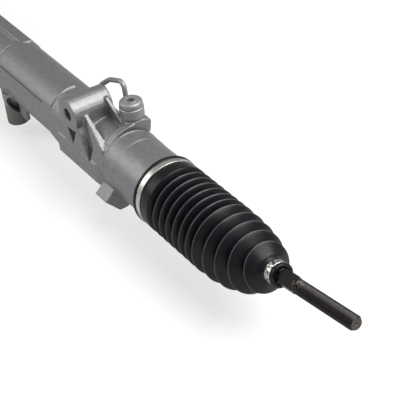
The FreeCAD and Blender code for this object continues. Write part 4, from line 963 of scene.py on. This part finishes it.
@dataclass
class Clamps:
    """Large strap with its overlapping tail, and the small spring band on the outer cuff."""

    side: Side
    seat_r: float = 40.3
    strap_start: float = 4.2
    strap_end: float = 11.6
    strap_thick: float = 1.0
    strap_edge: float = 0.25
    tail_thick: float = 0.55
    tail_deg: tuple[float, float] = (108.5, 153.5)
    around: int = 120
    spring_start: float = 98.2
    spring_end: float = 107.0
    spring_inner: float = 11.3
    spring_outer: float = 13.0
    spring_edge: float = 0.3
    dent: float = 0.22
    dents: int = 22
    spring_around: int = 132

    def strap(self, name: str, inner: float, outer: float, turn_deg: tuple[float, float]) -> Object:
        """Rolled strip round the cuff, open where it doesn't go all the way round.

        Args:
            name: piece name without its side.
            inner: inner radius.
            outer: outer radius.
            turn_deg: angles at which it starts and ends.

        Returns:
            The new object.
        """
        low, high, edge = self.strap_start, self.strap_end, self.strap_edge
        section = [(low, inner), (low, outer - edge), (low + edge, outer), (high - edge, outer),
                   (high, outer - edge), (high, inner)]
        whole = turn_deg[1] - turn_deg[0] >= 360
        angles = np.radians(np.linspace(*turn_deg, self.around, endpoint=not whole))
        columns = [ring((point(station), Vector((0, 1, 0)), Vector((0, 0, 1))), angles, radius)
                   for station, radius in section]
        return swept(self.side.body(name), np.stack(columns, axis=1), whole)

    def dented(self, station: float, angles: np.ndarray, plain: float) -> Radii:
        """Shallow pressed dents round the spring band."""
        if plain < self.spring_outer - 0.4:
            return plain
        share = (station - self.spring_start) / (self.spring_end - self.spring_start)
        row = math.sin(2 * math.pi * share)
        return plain + self.dent * row * np.sin(self.dents * angles)

    def spring_section(self) -> Profile:
        """Section of the spring band, with a row of points for the dents."""
        low, high, edge = self.spring_start, self.spring_end, self.spring_edge
        width = high - low - 2 * edge
        top = [(low + edge + width * share, self.spring_outer) for share in [0.0] + shares(8)]
        return [(low, self.spring_inner), (low, self.spring_outer - edge), *top,
                (high, self.spring_outer - edge), (high, self.spring_inner)]

    def build(self, finishes: Finishes) -> None:
        """Build both clamps in the places of their plain solids.

        Args:
            finishes: every material, by its entry in the palette.
        """
        outer = self.seat_r + self.strap_thick
        strap = self.strap("strap", self.seat_r + 0.02, outer, (0.0, 360.0))
        tail = self.strap("strap_tail", outer - 0.05, outer + self.tail_thick, self.tail_deg)
        band = lathe(self.side.body("spring_band"), self.spring_section(), TieRod(self.side).basis,
                     self.spring_around, crease_deg=50.0, radius=self.dented)
        for obj, entry, body in ((strap, "strip", "housing"), (tail, "strip", "housing"),
                                 (band, "spring", self.side.body("rod"))):
            obj.data.transform(self.side.matrix)
            finished(obj, "stainless_band", finishes, entry)
            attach(obj, body)
        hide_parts(self.side.body("large_band"))
        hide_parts(self.side.body("small_band"))


@dataclass
class Banjo:
    """Eye of a line under its domed hollow bolt, on a cylinder port."""

    name: str
    port: Vector
    up: int
    washer: float = 1.2
    eye_r: float = 14.2
    eye_height: float = 12.6
    eye_bore_r: float = 5.0
    rim: float = 0.9
    groove: float = 0.7
    stem_r: float = 4.6
    stem: float = 6.0
    cap_r: float = 13.6
    cap_edge: float = 0.5
    top_r: float = 9.6
    dome: float = 3.2
    height: float = 21.6
    disc_r: float = 7.4
    socket_flats: float = 8.0
    socket_depth: float = 5.0
    around: int = 96

    def basis(self, station: float) -> Basis:
        """Centre and cross directions at a height over the port."""
        centre = point(*(self.port + Vector((0, 0, station * self.up))))
        return centre, Vector((1, 0, 0)), Vector((0, self.up, 0))

    def socket(self, _: float, angles: np.ndarray, plain: float) -> Radii:
        """Hexagon inside the bolt's head."""
        if plain > self.socket_flats / 2 + 0.7:
            return plain
        turn = np.mod(angles, math.pi / 3) - math.pi / 6
        return plain / np.cos(turn)

    def eye(self) -> Profile:
        """Section of the eye."""
        low, top, edge = self.washer, self.washer + self.eye_height, self.cap_edge
        return [(low, self.eye_r - edge), (low + edge, self.eye_r), (top - self.rim, self.eye_r),
                (top, self.eye_r - self.rim), (top, self.eye_bore_r), (low, self.eye_bore_r)]

    def bolt(self) -> Profile:
        """Section of the hollow bolt, from its stem over the domed head to the socket's floor."""
        low, edge, flat = self.washer - self.stem, self.cap_edge, self.socket_flats / 2
        start = self.washer + self.eye_height + self.groove
        floor = self.height - self.socket_depth
        angles = [math.pi / 2 * share for share in [0.0] + shares(6)]
        dome = [(self.height - self.dome * (1 - math.sin(angle)) - edge,
                 self.top_r + (self.cap_r - self.top_r) * math.cos(angle)) for angle in angles]
        return [(low, self.stem_r), (start - 0.1, self.stem_r), (start - 0.1, self.cap_r - 1.4),
                (start, self.cap_r - edge), (start + edge, self.cap_r), *dome,
                (self.height - edge, self.disc_r + 0.4), (self.height, self.disc_r),
                (self.height, flat + 0.8), (self.height - edge, flat), (floor, flat),
                (floor - 1.0, 0.6), (low, 0.6)]

    def build(self, finishes: Finishes) -> None:
        """Turn the eye and the bolt, in the places of their plain solids."""
        eye = lathe(self.name + "_line_eye", self.eye(), self.basis, self.around, True, 40.0)
        bolt = lathe(self.name + "_hollow_bolt", self.bolt(), self.basis, self.around, True, 40.0,
                     self.socket)
        for piece in (eye, bolt):
            finished(piece, "plated_steel", finishes, "satin")
            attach(piece, "housing")
        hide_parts(self.name + "_banjo_eye")
        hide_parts("banjo_bolts")


@dataclass
class Line:
    """Steel pressure line: straight runs joined by (corner, radius) bends."""

    node: str
    start: Vector
    corners: Sequence[tuple[Vector, float]]
    end: Vector
    tube_r: float = 3.0
    step_deg: float = 6.0
    around: int = 28

    def path(self) -> list[Vector]:
        """Points down the middle of the line, close together round each bend."""
        places = [self.start] + [corner for corner, _ in self.corners] + [self.end]
        points = [self.start]
        for index, (corner, bend) in enumerate(self.corners):
            inward = (places[index] - corner).normalized()
            onward = (places[index + 2] - corner).normalized()
            half = inward.angle(onward) / 2
            centre = corner + (inward + onward).normalized() * (bend / math.sin(half))
            arm = corner + inward * (bend / math.tan(half)) - centre
            turn = math.pi - 2 * half
            axis = onward.cross(inward).normalized()
            steps = max(4, math.ceil(math.degrees(turn) / self.step_deg))
            points += [centre + Matrix.Rotation(turn * step / steps, 3, axis) @ arm
                       for step in range(steps + 1)]
        return points + [self.end]

    def build(self, finishes: Finishes) -> None:
        """Sweep the tube and put it in the place of its plain solid."""
        points = self.path()
        angles = np.linspace(0, 2 * math.pi, self.around, endpoint=False)
        runs = [(onward - here).normalized() for here, onward in zip(points, points[1:])]
        side = runs[0].orthogonal().normalized()
        rings = []
        for here, before, after in zip(points, runs[:1] + runs, runs + runs[-1:]):
            ahead = (before + after).normalized()
            side = (side - ahead * side.dot(ahead)).normalized()
            basis = (point(*here), side, ahead.cross(side))
            rings.append(ring(basis, angles, self.tube_r))
        obj = swept("steel_" + self.node, np.array(rings), False)
        finished(obj, "plated_steel", finishes, "satin")
        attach(obj, "housing")
        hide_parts(self.node)


def lines() -> list[Line]:
    """The two lines between the cylinder's ends and the valve."""
    leave = Vector((math.cos(math.radians(165.0)), math.sin(math.radians(165.0)), 0.0))
    eye = RIGHT_PORT + Vector((0.0, 0.0, EYE_MIDDLE))
    over = [(eye + leave * (EYE_MOUTH + 9.0), 6.0), (Vector((-113.5, 24.5, 77.5)), 7.0),
            (Vector((-146.0, 24.5, 65.5)), 40.0), (Vector((-172.5, 25.5, 46.0)), 12.0),
            (Vector((-191.5, 40.5, 18.0)), 12.0), (Vector((-205.5, 42.5, -10.0)), 12.0),
            (Vector((PINION_X + 34, 42.5, -10.0)), 12.0), (Vector((PINION_X + 2, 60.0, 8.0)), 12.0),
            (Vector((PINION_X, 68.0, 54.0)), 6.0)]
    low = LEFT_PORT + Vector((0.0, EYE_MOUTH, -EYE_MIDDLE))
    behind = [(Vector((low.x, 48.0, low.z)), 12.0), (Vector((low.x - 50, 50.0, -29.0)), 12.0),
              (Vector((PINION_X + 30, 54.0, -29.0)), 12.0),
              (Vector((PINION_X - 6, 74.0, 20.0)), 12.0), (Vector((PINION_X, 80.0, 80.0)), 6.0)]
    return [Line("right_line_pipe", eye + leave * EYE_MOUTH, over,
                 Vector((PINION_X, VALVE_FACE_Y, 54.0))),
            Line("left_line_pipe", low, behind, Vector((PINION_X, VALVE_FACE_Y, 80.0)))]


@dataclass(frozen=True)
class Lamp:
    """Square soft lamp, in metres and watts."""

    name: str
    place: tuple[float, float, float]
    size: float
    power: float

    def build(self, target: Vector) -> None:
        """Hang the lamp so that it faces a target."""
        data = bpy.data.lights.new(self.name, "AREA")
        data.shape, data.size, data.energy = "SQUARE", self.size, self.power
        obj = link(self.name, data)
        obj.location = self.place
        obj.rotation_mode = "QUATERNION"
        obj.rotation_quaternion = (target - Vector(self.place)).to_track_quat("-Z", "Y")


@dataclass
class Studio:
    """Pale floor, soft lamps and the camera at the photograph's angle."""

    azimuth_deg: float = 59.95
    elevation_deg: float = 36.46
    roll_deg: float = -6.32
    place_mm: tuple[float, float, float] = (1162.1, -536.1, 791.2)
    lens_mm: float = 117.0
    sensor_mm: float = 36.0
    floor_size: float = 9.0
    surroundings: float = 0.29
    floor_seen: float = 0.6
    floor_in_glints: float = 0.2
    lamps: tuple[Lamp, ...] = (Lamp("overhead", (0.7, 0.6, 1.25), 1.5, 31.5),
                               Lamp("near_side", (-0.9, -1.2, 1.1), 1.3, 12.0))

    def camera(self) -> None:
        """Make the scene's camera."""
        a, e, roll = (math.radians(v) for v in (self.azimuth_deg, self.elevation_deg, self.roll_deg))
        back = Vector((math.sin(a) * math.cos(e), -math.cos(a) * math.cos(e), math.sin(e)))
        right = Vector((0, 0, 1)).cross(back).normalized()
        up = back.cross(right)
        c, s = math.cos(roll), math.sin(roll)
        data = bpy.data.cameras.new("photo_camera")
        data.lens, data.sensor_width = self.lens_mm, self.sensor_mm
        data.clip_start, data.clip_end = 0.05, 50.0
        obj = link("photo_camera", data)
        turn = Matrix((right * c + up * s, up * c - right * s, back)).transposed().to_4x4()
        obj.matrix_world = Matrix.Translation(Vector(self.place_mm) * MM) @ turn
        bpy.context.scene.camera = obj

    def world(self) -> None:
        """Even pale surroundings that look white to the camera."""
        world = bpy.data.worlds.new("studio")
        bpy.context.scene.world = world
        world.use_nodes = True
        tree = world.node_tree
        background = tree.nodes["Background"]
        background.inputs["Color"].default_value = linear("#FFFFFF")
        path = add_node(tree, "ShaderNodeLightPath")
        white = add_node(tree, "ShaderNodeMapRange", {"Value": path.outputs["Is Camera Ray"],
                                                      "To Min": self.surroundings, "To Max": 1.0})
        tree.links.new(white.outputs["Result"], background.inputs["Strength"])

    def floor(self) -> None:
        """Wide pale floor, lifted to white for the camera and still taking shadow."""
        bpy.ops.mesh.primitive_plane_add(size=self.floor_size, location=(0.0, 0.0, FLOOR_Z * MM))
        obj = bpy.context.object
        obj.name = "studio_floor"
        shader = Shader("studio_paper")
        shader.bsdf.inputs["Base Color"].default_value = linear("#B2B2B2")
        shader.bsdf.inputs["Roughness"].default_value = 0.9
        shader.bsdf.inputs["Emission Color"].default_value = linear("#FFFFFF")
        path = shader.add("ShaderNodeLightPath")
        seen = shader.add("ShaderNodeMath", {0: path.outputs["Is Camera Ray"], 1: self.floor_seen},
                          operation="MULTIPLY")
        lift = shader.add("ShaderNodeMath", {0: path.outputs["Is Glossy Ray"],
                                             1: self.floor_in_glints, 2: seen.outputs["Value"]},
                          operation="MULTIPLY_ADD")
        shader.feed("Emission Strength", lift.outputs["Value"])
        obj.data.materials.append(shader.material)

    def build(self) -> None:
        """Set up the camera, world, floor and lamps."""
        self.camera()
        self.world()
        self.floor()
        for lamp in self.lamps:
            lamp.build(point(0.0))
        bpy.context.scene.view_settings.view_transform = "Standard"


def rack_housing() -> Casting:
    """Main casting, with what the plain solid leaves to the scene: the lower strip's fairing and line,
    the crescent beside the boss, the pocket over the foot, and the lines of the rail and the pad."""
    strip = Fairing(-159.0, -225.0,
                    ((-34.0, 8.0), (-38.0, 0.0), (-38.0, -20.5), (-26.6, -32.0), (0.0, -20.0)),
                    ((-33.0, 8.0), (-35.6, 0.0), (-32.0, -14.0), (-25.0, -24.5), (0.0, -20.0)))
    strip_line = Hollow((-158.0, -38.5, -14.5), (-60.0, -38.5, -14.5), (0.0, 1.0, 0.0), 1.6, 1.3)
    crescent = Hollow((-204.0, -35.0, 26.0), (-172.0, -35.0, 38.0), (0.0, 0.7, -0.7), 3.2, 1.1)
    pocket = Hollow((-310.9, -36.6, -19.0), (-307.1, -25.8, -30.0), (-0.92, 0.39, 0.0), 6.5, 9.0, 2.2)
    rail = Hollow((-445.0, 0.7, 36.5), (-357.0, 0.7, 36.5), (0.0, 0.0, -1.0), 1.9, 1.6)
    pad = RingGroove(-350.5, 92.0, 135.0, 1.9, 1.1)
    boss_corner = (Vector((-123.0, -38.0, 28.0)), 9.0)
    pad_corner = (Vector((-348.0, 11.5, 35.0)), 9.0)
    near_rib = [(Vector((-84.0, -30.0, 20.0)), 8.0), (Vector((-94.0, -28.0, 30.0)), 6.0),
                (Vector((-104.0, -27.0, 39.0)), 6.0)]
    return Casting("rack_housing", 0.75,
                   rounds=[(-625.0, -75.0, BARREL_R), (-74.0, -52.5, 38.5), (-51.5, -2.5, 37.9)],
                   fairings=[strip], hollows=[strip_line, crescent, pocket, rail, pad],
                   softened=[boss_corner, pad_corner, *near_rib],
                   # Painted shade over the foot.
                   shaded_at=[(Vector((-321.0, -27.0, -48.0)), 26.0)])


def dress_nodes(finishes: Finishes) -> None:
    """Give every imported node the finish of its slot."""
    for part in frame["record"]["subparts"]:
        node = frame["nodes"][part["node"]]
        material = finishes[SLOTS[part["material_slot"]]]
        for slot in node.material_slots:
            slot.material = material
        if not node.material_slots:
            node.data.materials.append(material)


def main() -> None:
    """Build every sub-assembly in order."""
    logging.basicConfig(level=logging.INFO, format="%(name)s %(message)s")
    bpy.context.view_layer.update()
    palette = Palette()
    finishes = {entry.name: getattr(palette, entry.name).material() for entry in fields(palette)}
    Studio().build()
    dress_nodes(finishes)
    pieces = [rack_housing(), Casting("valve_housing", 0.8), Banjo("right", RIGHT_PORT, 1),
              Banjo("left", LEFT_PORT, -1), *lines()]
    for side in Side:
        pieces += [Bellows(side), Clamps(side), TieRod(side)]
    for piece in pieces:
        piece.build(finishes)


if __name__ == "__main__":
    main()
